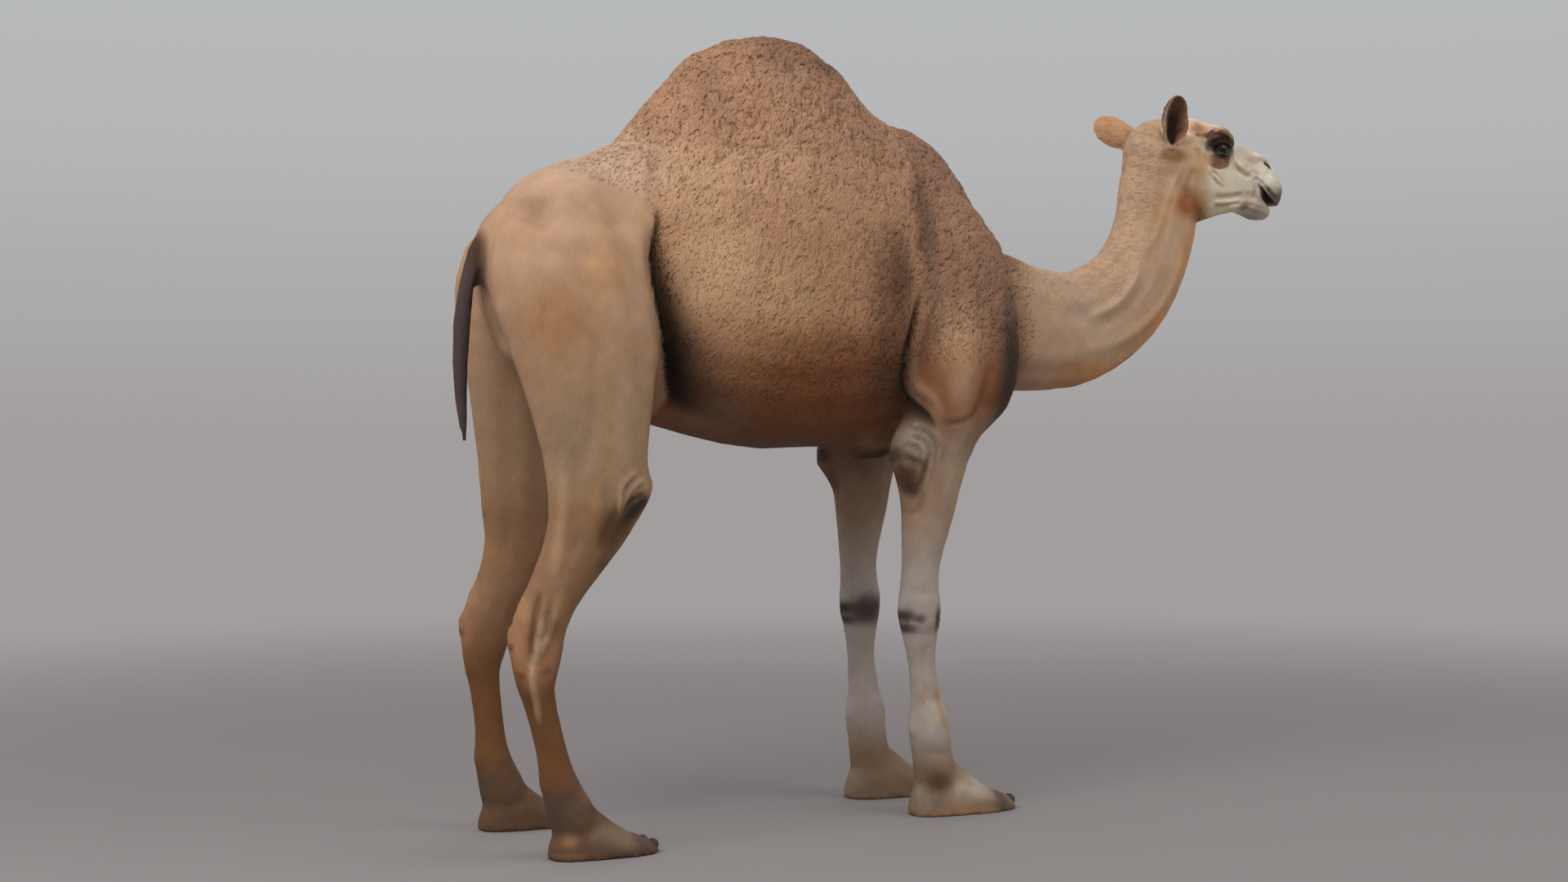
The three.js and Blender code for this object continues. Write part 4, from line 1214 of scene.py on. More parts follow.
# ---------------------------------------------------------------- materials
def new_group(name, sockets):
    """A shader node group with its inputs and outputs; each socket is (name, kind, default), and
    those after None are outputs."""
    group = bpy.data.node_groups.new(name, "ShaderNodeTree")
    way = "INPUT"
    for socket in sockets:
        if socket is None:
            way = "OUTPUT"
            continue
        label, kind, default = socket
        made = group.interface.new_socket(name=label, in_out=way, socket_type=f"NodeSocket{kind}")
        if default is not None:
            made.default_value = default
    return group, group.nodes.new("NodeGroupInput"), group.nodes.new("NodeGroupOutput")


def add(tree, kind, inputs=None, **settings):
    """A node with its settings, and its inputs set to values or joined to other sockets."""
    node = tree.nodes.new(f"ShaderNode{kind}")
    for name, value in settings.items():
        setattr(node, name, value)
    for name, value in (inputs or {}).items():
        if isinstance(value, bpy.types.NodeSocket):
            tree.links.new(value, node.inputs[name])
        else:
            node.inputs[name].default_value = value
    return node


def calculated(tree, operation, *values):
    return add(tree, "Math", dict(enumerate(values)), operation=operation).outputs[0]


def vector_math(tree, operation, *vectors):
    return add(tree, "VectorMath", dict(enumerate(vectors)), operation=operation).outputs


def tinted(tree, share, colour, other):
    """A mix of two colours."""
    return add(tree, "Mix", {0: share, 6: colour, 7: other}, data_type="RGBA").outputs[2]


def weighed(tree, share, value, other):
    """A mix of two values."""
    return add(tree, "Mix", {0: share, 2: value, 3: other}).outputs[0]


def scaled(tree, vector, factor):
    return add(tree, "VectorMath", {0: vector, "Scale": factor}, operation="SCALE").outputs[0]


def ranged(tree, value, low, high, to_low=0.0, to_high=1.0, **settings):
    """A value between low and high, carried over to the range from to_low to to_high."""
    return add(tree, "MapRange", {"Value": value, "From Min": low, "From Max": high,
                                  "To Min": to_low, "To Max": to_high}, **settings).outputs[0]


def grains(tree, place, scale, detail, distortion=0.0):
    """Random grains in space, from 0 to 1."""
    return add(tree, "TexNoise", {"Vector": place, "Scale": scale, "Detail": detail,
                                  "Distortion": distortion}).outputs["Fac"]


def stretched_place(tree, scale):
    place = add(tree, "TexCoord").outputs["Object"]
    return add(tree, "Mapping", {"Vector": place, "Scale": scale}).outputs[0]


def mottle_group():
    """Uneven colour, as of dust and sun on hair: a colour made lighter and darker in patches."""
    group, given, out = new_group("mottled colour", [
        ("Colour", "Color", (0.5, 0.4, 0.3, 1)), ("Amount", "Float", 0.2), ("Size", "Float", 0.02),
        None, ("Colour", "Color", None)])
    place = add(group, "TexCoord").outputs["Object"]
    scale = calculated(group, "DIVIDE", 1.0, given.outputs["Size"])
    swing = calculated(group, "SUBTRACT", grains(group, place, scale, 4.0), 0.5)
    gain = calculated(group, "MULTIPLY_ADD", swing, given.outputs["Amount"], 1.0)
    group.links.new(scaled(group, given.outputs["Colour"], gain), out.inputs["Colour"])
    return group


def hair_group():
    """Height and shade of short lying hair: fine streaks along z, broken up at random."""
    group, given, out = new_group("lying hair", [
        ("Strand", "Float", 0.0025), ("Length", "Float", 0.02), None, ("Height", "Float", None),
        ("Shade", "Float", None)])
    parts = add(group, "SeparateXYZ", {0: add(group, "TexCoord").outputs["Object"]}).outputs
    across = calculated(group, "DIVIDE", 1.0, given.outputs["Strand"])
    down = calculated(group, "DIVIDE", 1.0, given.outputs["Length"])
    joined = add(group, "CombineXYZ", {0: calculated(group, "MULTIPLY", parts[0], across),
                                       1: calculated(group, "MULTIPLY", parts[1], across),
                                       2: calculated(group, "MULTIPLY", parts[2], down)})
    strands = grains(group, joined.outputs[0], 1.0, 3.0, 0.6)
    group.links.new(strands, out.inputs["Height"])
    group.links.new(ranged(group, strands, 0.3, 0.7, 0.94, 1.05), out.inputs["Shade"])
    return group


def hide_group():
    """Height of creased, leathery skin: cells with grooves between them."""
    group, given, out = new_group("creased hide", [
        ("Cell", "Float", 0.006), ("Depth", "Float", 1.0), None, ("Height", "Float", None)])
    place = add(group, "TexCoord").outputs["Object"]
    scale = calculated(group, "DIVIDE", 1.0, given.outputs["Cell"])
    bend = add(group, "TexNoise", {"Vector": place, "Scale": 60.0, "Detail": 2.0}).outputs["Color"]
    at = vector_math(group, "ADD", place, scaled(group, bend, 0.006))["Vector"]
    cells = add(group, "TexVoronoi", {"Vector": at, "Scale": scale}, feature="DISTANCE_TO_EDGE")
    rise = ranged(group, cells.outputs["Distance"], 0.0, 0.25)
    height = calculated(group, "MULTIPLY", rise, given.outputs["Depth"])
    group.links.new(height, out.inputs["Height"])
    return group


def mottled(tree, colour, amount, size):
    group = bpy.data.node_groups.get("mottled colour") or mottle_group()
    return add(tree, "Group", {"Colour": colour, "Amount": amount, "Size": size},
               node_tree=group).outputs[0]


def lying_hair(tree, strand, length):
    group = bpy.data.node_groups.get("lying hair") or hair_group()
    return add(tree, "Group", {"Strand": strand, "Length": length}, node_tree=group).outputs


def new_material(name, **values):
    """A Principled material with its plain values set; returns it, its tree and its shader."""
    material = bpy.data.materials.new(name)
    material.use_nodes = True
    tree = material.node_tree
    shader = tree.nodes["Principled BSDF"]
    for socket, value in values.items():
        shader.inputs[socket.replace("_", " ")].default_value = value
    return material, tree, shader


def raised(tree, shader, height, strength, distance):
    """Gives the shader's surface a fine relief."""
    bump = add(tree, "Bump", {"Height": height, "Strength": strength, "Distance": distance})
    tree.links.new(bump.outputs[0], shader.inputs["Normal"])


def skin_material():
    """Short hair over the whole skin, with bare creased hide where the hair stops."""
    material, tree, shader = new_material("short hair and hide", Specular_IOR_Level=0.28)
    coat = add(tree, "VertexColor", layer_name="coat").outputs["Color"]
    bare, wool, crinkle = (add(tree, "Attribute", attribute_name=name).outputs["Fac"]
                           for name in ("bare", "wool", "crinkle"))
    hair = lying_hair(tree, 0.0028, 0.022)
    streaked = scaled(tree, mottled(tree, coat, 0.22, 0.035), hair["Shade"])
    hide = add(tree, "Group", {"Cell": 0.007, "Depth": 1.0}, node_tree=hide_group()).outputs[0]
    fine = grains(tree, stretched_place(tree, (1, 1, 1)), 900.0, 2.0)
    furry = calculated(tree, "MULTIPLY_ADD", fine, 0.35, hair["Height"])
    curls = grains(tree, stretched_place(tree, (1, 1, 0.6)), 70.0, 2.0, 1.5)
    clumped = weighed(tree, wool, furry, calculated(tree, "MULTIPLY", curls, 2.6))
    ripple = grains(tree, stretched_place(tree, (0.85, 0.85, 1.3)), 60.0, 2.0, 0.8)
    # On the crown, the nape and the ears the valleys of the ripples are painted darker and their
    # crests lighter: a painted shade and highlight over the ripples' relief.
    shaded = weighed(tree, crinkle, 1.0, ranged(tree, ripple, 0.36, 0.56, 0.84, 1.06))
    tree.links.new(scaled(tree, streaked, shaded), shader.inputs["Base Color"])
    ridged = weighed(tree, crinkle, clumped, calculated(tree, "MULTIPLY", ripple, 8.0))
    raised(tree, shader, weighed(tree, bare, ridged, hide), 0.55, 0.0016)
    tree.links.new(ranged(tree, bare, 0, 1, 0.78, 0.52), shader.inputs["Roughness"])
    return material


def lock_material(name, roughness, mottle, size):
    """Hair or wool modelled as solid locks."""
    material, tree, shader = new_material(name, Specular_IOR_Level=0.25)
    coat = add(tree, "VertexColor", layer_name="coat").outputs["Color"]
    tree.links.new(mottled(tree, coat, mottle, size), shader.inputs["Base Color"])
    height = lying_hair(tree, 0.0016, 0.006)["Height"]
    rough = ranged(tree, height, 0, 1, roughness - 0.1, roughness + 0.1)
    tree.links.new(rough, shader.inputs["Roughness"])
    raised(tree, shader, height, 0.35, 0.0008)
    return material


def nail_material():
    """Dark horn with rings of growth."""
    material, tree, shader = new_material("toenail horn", Specular_IOR_Level=0.4)
    rings = add(tree, "TexWave", {"Vector": stretched_place(tree, (1, 0.25, 0.5)), "Scale": 60.0,
                                  "Distortion": 3.0, "Detail": 2.0},
                bands_direction="X").outputs["Fac"]
    horn = mottled(tree, (*palette()["nail"], 1), 0.9, 0.012)
    tree.links.new(horn, shader.inputs["Base Color"])
    raised(tree, shader, rings, 0.4, 0.001)
    tree.links.new(ranged(tree, rings, 0, 1, 0.42, 0.62), shader.inputs["Roughness"])
    return material


def eye_material():
    """A wet dark eye: a brown iris with rays round a black pupil that is wider than tall."""
    held = bpy.context.scene.camel_eyes
    material, tree, shader = new_material("eye", Roughness=0.08, Specular_IOR_Level=0.35)
    place = add(tree, "Attribute", attribute_name="iris_place", attribute_type="GEOMETRY")
    flat = vector_math(tree, "MULTIPLY", place.outputs["Vector"], (1, 1, 0))["Vector"]
    pupil_size = (1 / held.pupil_width, 1 / held.pupil_height, 1)
    wide = vector_math(tree, "MULTIPLY", flat, pupil_size)["Vector"]
    pupil = ranged(tree, vector_math(tree, "LENGTH", wide)["Value"], 0.88, 1.12)
    rim = ranged(tree, vector_math(tree, "LENGTH", flat)["Value"], 0.0155, 0.0185)
    rays = grains(tree, vector_math(tree, "NORMALIZE", flat)["Vector"], 9.0, 4.0)
    iris = tinted(tree, rays, (*held.iris_dark, 1), (*held.iris_light, 1))
    inner = tinted(tree, pupil, (0.003, 0.003, 0.004, 1), iris)
    whole = tinted(tree, rim, inner, (*held.white, 1))
    tree.links.new(whole, shader.inputs["Base Color"])
    return material


# ---------------------------------------------------------------- locks of hair and wool
def spots_on(skin, cover, spacing, seed):
    """Points spread over the skin about `spacing` apart where `cover` is above a random share:
    their places and normals."""
    rng = np.random.default_rng(seed)
    co, quads = skin["co"], skin["quads"]
    corners = co[quads]
    area = np.linalg.norm(np.cross(corners[:, 2] - corners[:, 0],
                                   corners[:, 3] - corners[:, 1]), axis=1) / 2
    weight = area * cover[quads].mean(1)
    count = int(5.0 * weight.sum() / spacing ** 2)
    face = rng.choice(len(quads), count, p=weight / weight.sum())
    u, v = rng.random((2, count, 1))
    share = np.stack([(1 - u) * (1 - v), u * (1 - v), u * v, (1 - u) * v], 1)
    at = (corners[face] * share).sum(1)
    key = np.floor(at / (0.82 * spacing)).astype(np.int64)
    _, first = np.unique(key, axis=0, return_index=True)
    first.sort()
    at, face, share = at[first], face[first], share[first]
    return at, unit((skin["normal"][quads[face]] * share).sum(1))


def draper(skin):
    """A function that lays points on the skin: it gives their places, normals and colours."""
    tree = BVHTree.FromPolygons(skin["co"].tolist(), skin["quads"].tolist())

    def onto(points):
        found = [tree.find_nearest(p) for p in points.reshape(-1, 3).tolist()]
        at = np.array([hit[0] for hit in found])
        corners = skin["quads"][[hit[2] for hit in found]]
        share = 1 / (np.linalg.norm(skin["co"][corners] - at[:, None], axis=2) + 0.3 * MM) ** 2
        share = (share / share.sum(1, keepdims=True))[..., None]
        normal = unit((skin["normal"][corners] * share).sum(1))
        colour = (skin["colour"][corners] * share).sum(1)
        return [value.reshape(points.shape) for value in (at, normal, colour)]

    return onto


def locks(at, normal, way, shape, onto, rng):
    """Solid locks, one at each place, laid along the skin by `onto`. `shape` gives length, width,
    proud (how high the lock's ridge stands over the skin, in which its lower edges lie), sink
    (how deep its root lies, for its height), curl and root (where along the lock its place is),
    with rings, and the shades of its root and tip."""
    n = len(at)
    rings = shape["rings"]
    t = np.linspace(0, 1, rings + 2)
    vary = 1 + shape["vary"] * rng.uniform(-1, 1, (n, 1))
    length, width = shape["length"][:, None] * vary, shape["width"][:, None]
    side = np.cross(normal, way)
    phase = rng.uniform(0, 2 * math.pi, (n, 1))
    curl = shape["curl"] * rng.uniform(-1, 1, (n, 1))
    sway = curl * (np.sin(math.pi * 1.5 * t[None] + phase) - np.sin(phase)) * length
    ahead = (t[None] - shape["root"]) * length
    ground, out, colour = onto(at[:, None] + way[:, None] * ahead[..., None]
                               + side[:, None] * sway[..., None])
    proud = shape["proud"][:, None]
    thick = 1.7 * proud
    rise = proud * (0.15 + 0.25 * shape["sink"])
    up = rise * 4 * t * (1 - t) - proud * shape["sink"] * ((1 - t) ** 2 + 0.5 * t ** 2)
    centre = ground + out * up[..., None]
    across = unit(np.cross(out, unit(np.gradient(centre, axis=1))))
    full = np.sin(math.pi * t ** shape["taper"]) ** 0.7
    turn = np.radians([90, 210, 330])
    ring = slice(1, rings + 1)
    body = (centre[:, ring, None]
            + across[:, ring, None] * (np.cos(turn)[None, None] * full[None, ring, None]
                                       * width[..., None] / 2)[..., None]
            + out[:, ring, None] * (np.sin(turn)[None, None] * full[None, ring, None]
                                    * thick[..., None] / 2)[..., None])
    points = np.concatenate([body.reshape(n, -1, 3), centre[:, :1], centre[:, -1:]], 1)
    tone = shape["root_shade"] + (shape["tip_shade"] - shape["root_shade"]) * t ** 0.8
    own = 1 + shape["tone"] * rng.normal(size=(n, 1))
    # The lower side of each lock is painted darker by its under share: a painted shade.
    low = np.where(np.sin(turn) < 0, shape["under"], 1.0)
    shades = np.concatenate([(tone[ring][:, None] * low[None]).ravel(), tone[[0, -1]]])
    dyed = np.concatenate([np.repeat(colour[:, ring], 3, axis=1), colour[:, :1], colour[:, -1:]], 1)
    colours = np.clip(dyed * (own * shades[None])[..., None], 0, 1)
    patch = np.concatenate([np.stack([np.repeat(t[ring] - 0.5, 3),
                                      np.tile(np.cos(turn) / 2, rings)], 1),
                            [[-0.5, 0], [0.5, 0]]]) * 0.003
    flat = unwrapped(at)[:, None] + patch[None]
    faces = repeated(tube(rings, 3), n, points.shape[1])
    return points.reshape(-1, 3), faces, colours.reshape(-1, 3), flat.reshape(-1, 2)


def coat_piece(name, made, material):
    co, faces, colours, flat = made
    thing = new_object(name, co, faces, material)
    set_colours(thing.data, colours)
    corners = np.empty(len(thing.data.loops), np.int32)
    thing.data.loops.foreach_get("vertex_index", corners)
    unwrap = thing.data.uv_layers.new(name="OFBake")
    unwrap.data.foreach_set("uv", flat[corners].astype(np.float32).ravel())
    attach(thing, "root")
    return thing


def coat_of(name, skin, cover, spacing, shape, material, seed, pieces, scale=None, height=None,
            spin=0.25):
    """Locks all over the part of the skin that `cover` marks, in `pieces` objects from front to
    back. `scale` gives each lock's size and `height` how high it stands, from its place; `spin`
    turns them off the lay."""
    at, normal = spots_on(skin, cover, spacing, seed)
    onto = draper(skin)
    order = np.argsort(at[:, 0])
    for k, some in enumerate(np.array_split(order, pieces)):
        rng = np.random.default_rng(seed * 100 + k)
        where, out = at[some], normal[some]
        part = body_parts(where)
        way = lay_of_hair(where, out, part)
        turn = spin * rng.normal(size=(len(where), 1))
        way = unit(way * np.cos(turn) + np.cross(out, way) * np.sin(turn))
        size = scale(where, part) if scale else np.ones(len(where))
        own = dict(shape, length=shape["length"] * size, width=shape["width"] * size,
                   proud=shape["proud"] * (height(where, part) if height else size ** 2))
        made = locks(where, out, way, own, onto, rng)
        coat_piece(f"{name}_{k + 1}", made, material)


def wool_shape():
    held = bpy.context.scene.camel_coat
    return {"length": held.wool_length, "width": held.wool_width, "proud": held.wool_height,
            "sink": 0.5, "curl": held.wool_curl, "root": 0.5, "taper": 0.95, "vary": 0.35,
            "rings": 4, "root_shade": 0.96, "tip_shade": 1.03, "under": 0.94, "tone": 0.05}


def hair_shape(length, width, **changes):
    shape = {"length": length, "width": width, "proud": 0.20 * width, "sink": 1.0, "curl": 0.10,
             "root": 0.05, "taper": 0.62, "vary": 0.30, "rings": 3, "root_shade": 0.98,
             "tip_shade": 1.03, "under": 0.97, "tone": 0.03}
    return {**shape, **changes}


# ---------------------------------------------------------------- settings shown in the panel
def length_of(name, metres, description):
    return bpy.props.FloatProperty(name=name, description=description, default=metres, min=0,
                                   unit="LENGTH", precision=4)


def share_of(name, value, description):
    return bpy.props.FloatProperty(name=name, description=description, default=value)


def colour_of(name, hexa, description):
    return bpy.props.FloatVectorProperty(name=name, description=description, subtype="COLOR",
                                         size=3, min=0, max=1, default=tuple(linear(hexa)))


class CamelSkinSettings(bpy.types.PropertyGroup):
    """How the skin is made from the solids."""
    grain: length_of("Grain", 0.0086, "Size of the skin's faces on the body")
    rounds: bpy.props.IntProperty(name="Fairing rounds", description="Steps of fairing",
                                  default=34, min=0)
    lumps: length_of("Wool lumps", 0.0025, "Height of the lumps of the curly wool")
    relief: share_of("Relief", 1.0, "Strength of folds, tendons and creases")


class CamelCoatSettings(bpy.types.PropertyGroup):
    """Sizes of wool and hair."""
    wool_length: length_of("Wool length", 0.0290, "Length of a curl of wool on the hump")
    wool_width: length_of("Wool width", 0.0140, "Width of a curl of wool")
    wool_height: length_of("Wool height", 0.0016, "Height of a curl of wool over the skin")
    wool_spacing: length_of("Wool spacing", 0.0142, "Distance between curls of wool")
    wool_curl: share_of("Wool curl", 0.16, "Sideways bend of a curl, of its length")
    neck_length: length_of("Neck hair length", 0.046, "Length of a lock on the neck")
    neck_spacing: length_of("Neck hair spacing", 0.0115, "Distance between locks on the neck")
    leg_length: length_of("Leg hair length", 0.024, "Length of a lock on legs and haunches")
    leg_spacing: length_of("Leg hair spacing", 0.0180, "Distance between locks on the legs")
    face_length: length_of("Face hair length", 0.009, "Length of a lock on the face")
    face_spacing: length_of("Face hair spacing", 0.0066, "Distance between locks on the face")
    ear_length: length_of("Ear hair length", 0.007, "Length of the hair on the ears")
    seed: bpy.props.IntProperty(name="Seed", description="Another draw of the hair", default=7)


# Some of these colours paint light and shade. The colours for the bottom of deep creases, the creases
# of the cheek, the shade under the ear, and the inside of the mouth, nostrils and ear's hollow are
# painted shadow. Those for the ridge of the brow, the temple, the fold at the mouth's corner and the
# tendons of the hock are painted highlights. The pale one for the wet edge of the lower lid is a
# painted reflection. The dark brow, the lids, the brown round the stifle, the nose's brown, the
# cheek's pale, the pale of the cannons and the muzzle are the coat's own colours, which some spots and
# streaks also use for painted shade or highlight.
class CamelColours(bpy.types.PropertyGroup):
    """Colours of coat, hide and horn."""
    __annotations__ = {name: colour_of(name.replace("_", " ").capitalize(), hexa, use)
                       for name, hexa, use in table("""
tan | #ac815f | Flanks and back
wool | #ac8265 | Hump and upper flank
hump_dark | #7c5c4a | Top and front of the hump
shoulder | #946f57 | Wool of the shoulder
pale_flank | #c8a27c | Rear of the flank
croup | #bd9b84 | Top of the hindquarters
hip_brown | #9b775f | Brown patches by the hip
haunch | #b38e70 | Hindquarters
gold | #a4734b | Golden patches of the haunch
thigh | #a58465 | Lower thigh
pale_thigh | #b99b7d | Pale front of the thigh
taupe | #8b7562 | Greyish shade on thigh and forearm
gaskin | #916d4f | Between stifle and hock
gaskin_shadow | #6f5642 | Hollows above the hock
belly | #7d4b2b | Underside
belly_low | #69544a | Darkest part of the underside
crease_dark | #150e0b | Bottom of deep creases
chest | #2f2520 | Breast and dark shoulder wool
breast | #7f6755 | Under the shoulder
elbow | #a0948a | Wrinkled hide at the elbow
forearm | #a0826a | Forearm
forearm_pale | #c0a98f | Front of the forearm and its fold
callus | #2f2520 | Pads at breast, elbow, knee and stifle
cannon | #ab9f95 | Fore legs under the knee
cannon_pale | #b5aa97 | Palest part of the fore legs
cannon_olive | #7b6748 | Dull rim under the elbow pad
cannon_orange | #b3885f | Orange tints of the fore legs
fore_foot | #8a705a | Fore feet
foot_dark | #55453a | Dark parts of the feet
cannon_dark | #734c2d | Hind legs under the hock
hind_foot | #674b38 | Hind feet
stifle_brown | #5c3e28 | Brown hide round the stifle pad
hock_pink | #b98562 | Orange-pink point of the hock
bone | #dcc4a2 | Pale tendons of the hock
neck | #ba9779 | Side of the lower neck
neck_pale | #c7ad8d | Ridge and streaks of the neck
neck_shadow | #a18a78 | Upper side of the lower neck
neck_orange | #d59258 | Throat and front of the neck
nape | #c09c7e | Back of the neck and poll
crown | #f8d6b6 | Top of the head
cheek_light | #e6d9be | Cheek and jaw
cheek_tan | #c9aa85 | Rear of the cheek
inner_lip | #6b5c48 | Edge of the upper lip
cheek_orange | #bd8f63 | Orange tints of the cheek
cheek_crease | #9a6f48 | Creases of the cheek
jowl | #985a30 | Throat below the jaw
pouch | #7a4f30 | Pouch below the eye
brow_dark | #503628 | Dark part of the brow
brow_brown | #8d6240 | Folds of the brow
brow_light | #dcc3aa | Ridge of the brow
temple_light | #d9bfa4 | Temple
lid | #221914 | Rims of the eyes
lid_light | #636a6e | Wet edge of the lower lid
ear_smudge | #86643f | Shade under the ear
ear_back | #b98c66 | Back of the ear
ear_rim | #a98662 | Rim of the ear
ear_pale | #c2ad96 | Pale inner edge of the ear
ear_inside | #6b4a33 | Hollow of the ear
muzzle | #ddd4cb | Nose and lips
muzzle_light | #d5cbbd | Fold at the mouth's corner
muzzle_dark | #7a7066 | Tip of the upper lip
nostril_skin | #a88f78 | Round the nostril
nose_brown | #a98a70 | Folds of the nose
lip_pink | #948178 | Lower lip
lip_brown | #8d6f5a | Shade by the lower lip
mouth | #14100e | Inside of the mouth and nostrils
tail | #4e4241 | Tail
tail_root | #4c362b | Root of the tail
nail | #41332b | Toenails
""")}


class CamelEyeSettings(bpy.types.PropertyGroup):
    """The eyes and their lashes."""
    pupil_width: length_of("Pupil width", 0.0095, "Half width of the pupil")
    pupil_height: length_of("Pupil height", 0.0062, "Half height of the pupil")
    iris_dark: colour_of("Iris, dark", "#0e0a08", "Dark rays of the iris")
    iris_light: colour_of("Iris, light", "#221710", "Light rays of the iris")
    white: colour_of("Rim of the eye", "#191412", "What shows outside the iris")
    lash_length: length_of("Lash length", 0.014, "Length of the upper lashes")
    lash_count: bpy.props.IntProperty(name="Lashes", description="Lashes on each upper lid",
                                      default=44, min=0)


class CamelStageSettings(bpy.types.PropertyGroup):
    """The plain studio."""
    floor: colour_of("Floor", "#8f8989", "Floor")
    sky_low: colour_of("Backdrop, low", "#a39e9e", "Backdrop at the horizon")
    sky_middle: colour_of("Backdrop, middle", "#b5b6b7", "Backdrop above the horizon")
    sky_high: colour_of("Backdrop, high", "#bbbfc1", "Backdrop at the top")
    fill: share_of("Fill", 0.85, "Strength of the even light")
    key: bpy.props.FloatProperty(name="Key lamp", description="Power of the main lamp",
                                 default=190.0, unit="POWER")
    front: bpy.props.FloatProperty(name="Front lamp", description="Power of the front lamp",
                                   default=55.0, unit="POWER")
    side: bpy.props.FloatProperty(name="Side lamp", description="Power of the lamp opposite",
                                  default=30.0, unit="POWER")


# ---------------------------------------------------------------- operators
def skin_data():
    """The finished skin's points, faces, normals, colours, parts and bare places."""
    mesh = bpy.data.objects["skin"].data
    co, quads = points_of(mesh), quads_of(mesh)
    rgba = np.empty(len(co) * 4, np.float32)
    mesh.color_attributes["coat"].data.foreach_get("color", rgba)
    return {"co": co, "quads": quads, "normal": normals_of(co, quads),
            "colour": rgba.reshape(-1, 4)[:, :3].astype(float), "part": body_parts(co),
            "bare": get_floats(mesh, "bare")}


class CAMEL_OT_skin(bpy.types.Operator):
    """Makes the one skin over head, neck, body, legs, ears and tail"""
    bl_idname = "camel.skin"
    bl_label = "Skin"

    def execute(self, context):
        held = context.scene.camel_skin
        co, quads = base_skin(held.grain, held.rounds)
        part = body_parts(co)
        normal = normals_of(co, quads)
        co = sculpted(co, normal, held.relief)
        co = faired(co, quads, 1.8 * by_the_lids(co), 14)
        colour = markings(co, normal, part)
        wool = wool_cover(co, part)
        co += normal * (wool_lumps(co, wool) * held.lumps)[:, None]
        co = co - normal * coat_depth(co, part)[:, None]
        co = rubbed(co, quads, on_ears(co), 6)
        co[:, 2] = np.maximum(co[:, 2], 0.0)
        skin = new_object("skin", co, [quads], skin_material())
        set_colours(skin.data, colour)
        set_floats(skin.data, "bare", bareness(co))
        set_floats(skin.data, "wool", wool)
        set_floats(skin.data, "crinkle", crinkled(co, part))
        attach(skin, "root")
        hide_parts(*FLESH)
        return {"FINISHED"}


class CAMEL_OT_wool(bpy.types.Operator):
    """Curly wool over the hump, back, flanks and shoulders"""
    bl_idname = "camel.wool"
    bl_label = "Wool"

    def execute(self, context):
        held = context.scene.camel_coat
        skin = skin_data()
        cover = wool_cover(skin["co"], skin["part"])
        material = lock_material("curly wool", 0.82, 0.35, 0.02)
        coat_of("wool", skin, soft(0.0, 0.25, cover), held.wool_spacing, wool_shape(), material,
                held.seed, 4,
                scale=lambda p, part: 0.65 + 0.35 * wool_strength(p) * wool_cover(p, part),
                height=lambda p, part: (wool_strength(p) * wool_cover(p, part)) ** 1.5 + 0.02,
                spin=0.40)
        return {"FINISHED"}


class CAMEL_OT_body_hair(bpy.types.Operator):
    """Short locks on the neck, haunches, legs, breast and tail"""
    bl_idname = "camel.body_hair"
    bl_label = "Neck, leg and tail hair"

    def execute(self, context):
        held = context.scene.camel_coat
        skin = skin_data()
        co, part, bare = skin["co"], skin["part"], skin["bare"]
        x, _, z = camel_places(co)
        material = lock_material("body hair", 0.78, 0.25, 0.03)
        upper = soft(1.15, 1.40, x + 0.35 * np.maximum(1.42 - z, 0) + 0.2 * (z - 1.5))
        neck = part["neck"] * (1 - bare) * (0.12 + 0.88 * upper)
        neck *= 1 - soft(1.38, 1.46, x) * soft(1.66, 1.72, z)
        neck *= off_the_ears(co)
        neck = soft(0.30, 0.75, neck * (1 - crinkled(co, part)))
        coat_of("neck_hair", skin, neck, held.neck_spacing,
                hair_shape(held.neck_length, 0.0048, proud=0.0006, tone=0.05, under=1.0),
                material, held.seed + 1, 1, spin=0.07,
                scale=lambda p, part: 0.45 + 0.55 * soft(1.52, 1.40, p[:, 0] - AHEAD))
        rest = (1 - wool_cover(co, part)) * (1 - part["neck"]) * (1 - part["head"])
        rest *= (1 - part["ears"]) * (1 - bare) * (0.35 + 0.65 * soft(0.04, 0.16, z))
        rest *= 0.3 + 0.7 * soft(0.75, 0.35, np.abs(skin["normal"][:, 1]))
        rest *= soft(0.92, 0.82, x)
        coat_of("leg_hair", skin, rest, held.leg_spacing,
                hair_shape(held.leg_length, 0.0026), material, held.seed + 2, 2,
                scale=lambda p, part: 0.45 + 0.55 * soft(0.05, 0.5, p[:, 2]))
        return {"FINISHED"}


class CAMEL_OT_face_hair(bpy.types.Operator):
    """Fine short hair on the head and ears"""
    bl_idname = "camel.face_hair"
    bl_label = "Face and ear hair"

    def execute(self, context):
        held = context.scene.camel_coat
        skin = skin_data()
        co, part = skin["co"], skin["part"]
        x, _, z = camel_places(co)
        material = lock_material("face hair", 0.74, 0.2, 0.015)
        edges = soft(1.775, 1.750, z) + soft(1.965, 1.99, z) * soft(1.66, 1.60, x)
        face = part["head"] * (1 - skin["bare"]) * np.clip(edges, 0, 1) * off_the_ears(co)
        coat_of("face_hair", skin, face, held.face_spacing,
                hair_shape(held.face_length, 0.0015), material, held.seed + 3, 1,
                scale=lambda p, part: 0.6 + 0.6 * soft(1.85, 1.55, p[:, 0] - AHEAD))
        ears = part["ears"].copy()
        for _, side in SIDES:
            along, across, _, hollow = ear_places(co, side)
            inner = soft(0.6, 0.8, np.abs(skin["normal"] @ hollow))
            inner *= soft(0.026, 0.020, np.abs(across)) * soft(0.125, 0.105, along)
            ears *= np.where(np.sign(co[:, 1]) == side, inner, 1.0)
        coat_of("ear_hair", skin, ears, 0.0052,
                hair_shape(held.ear_length, 0.0014, root=0.4), material,
                held.seed + 4, 1, spin=0.2)
        return {"FINISHED"}


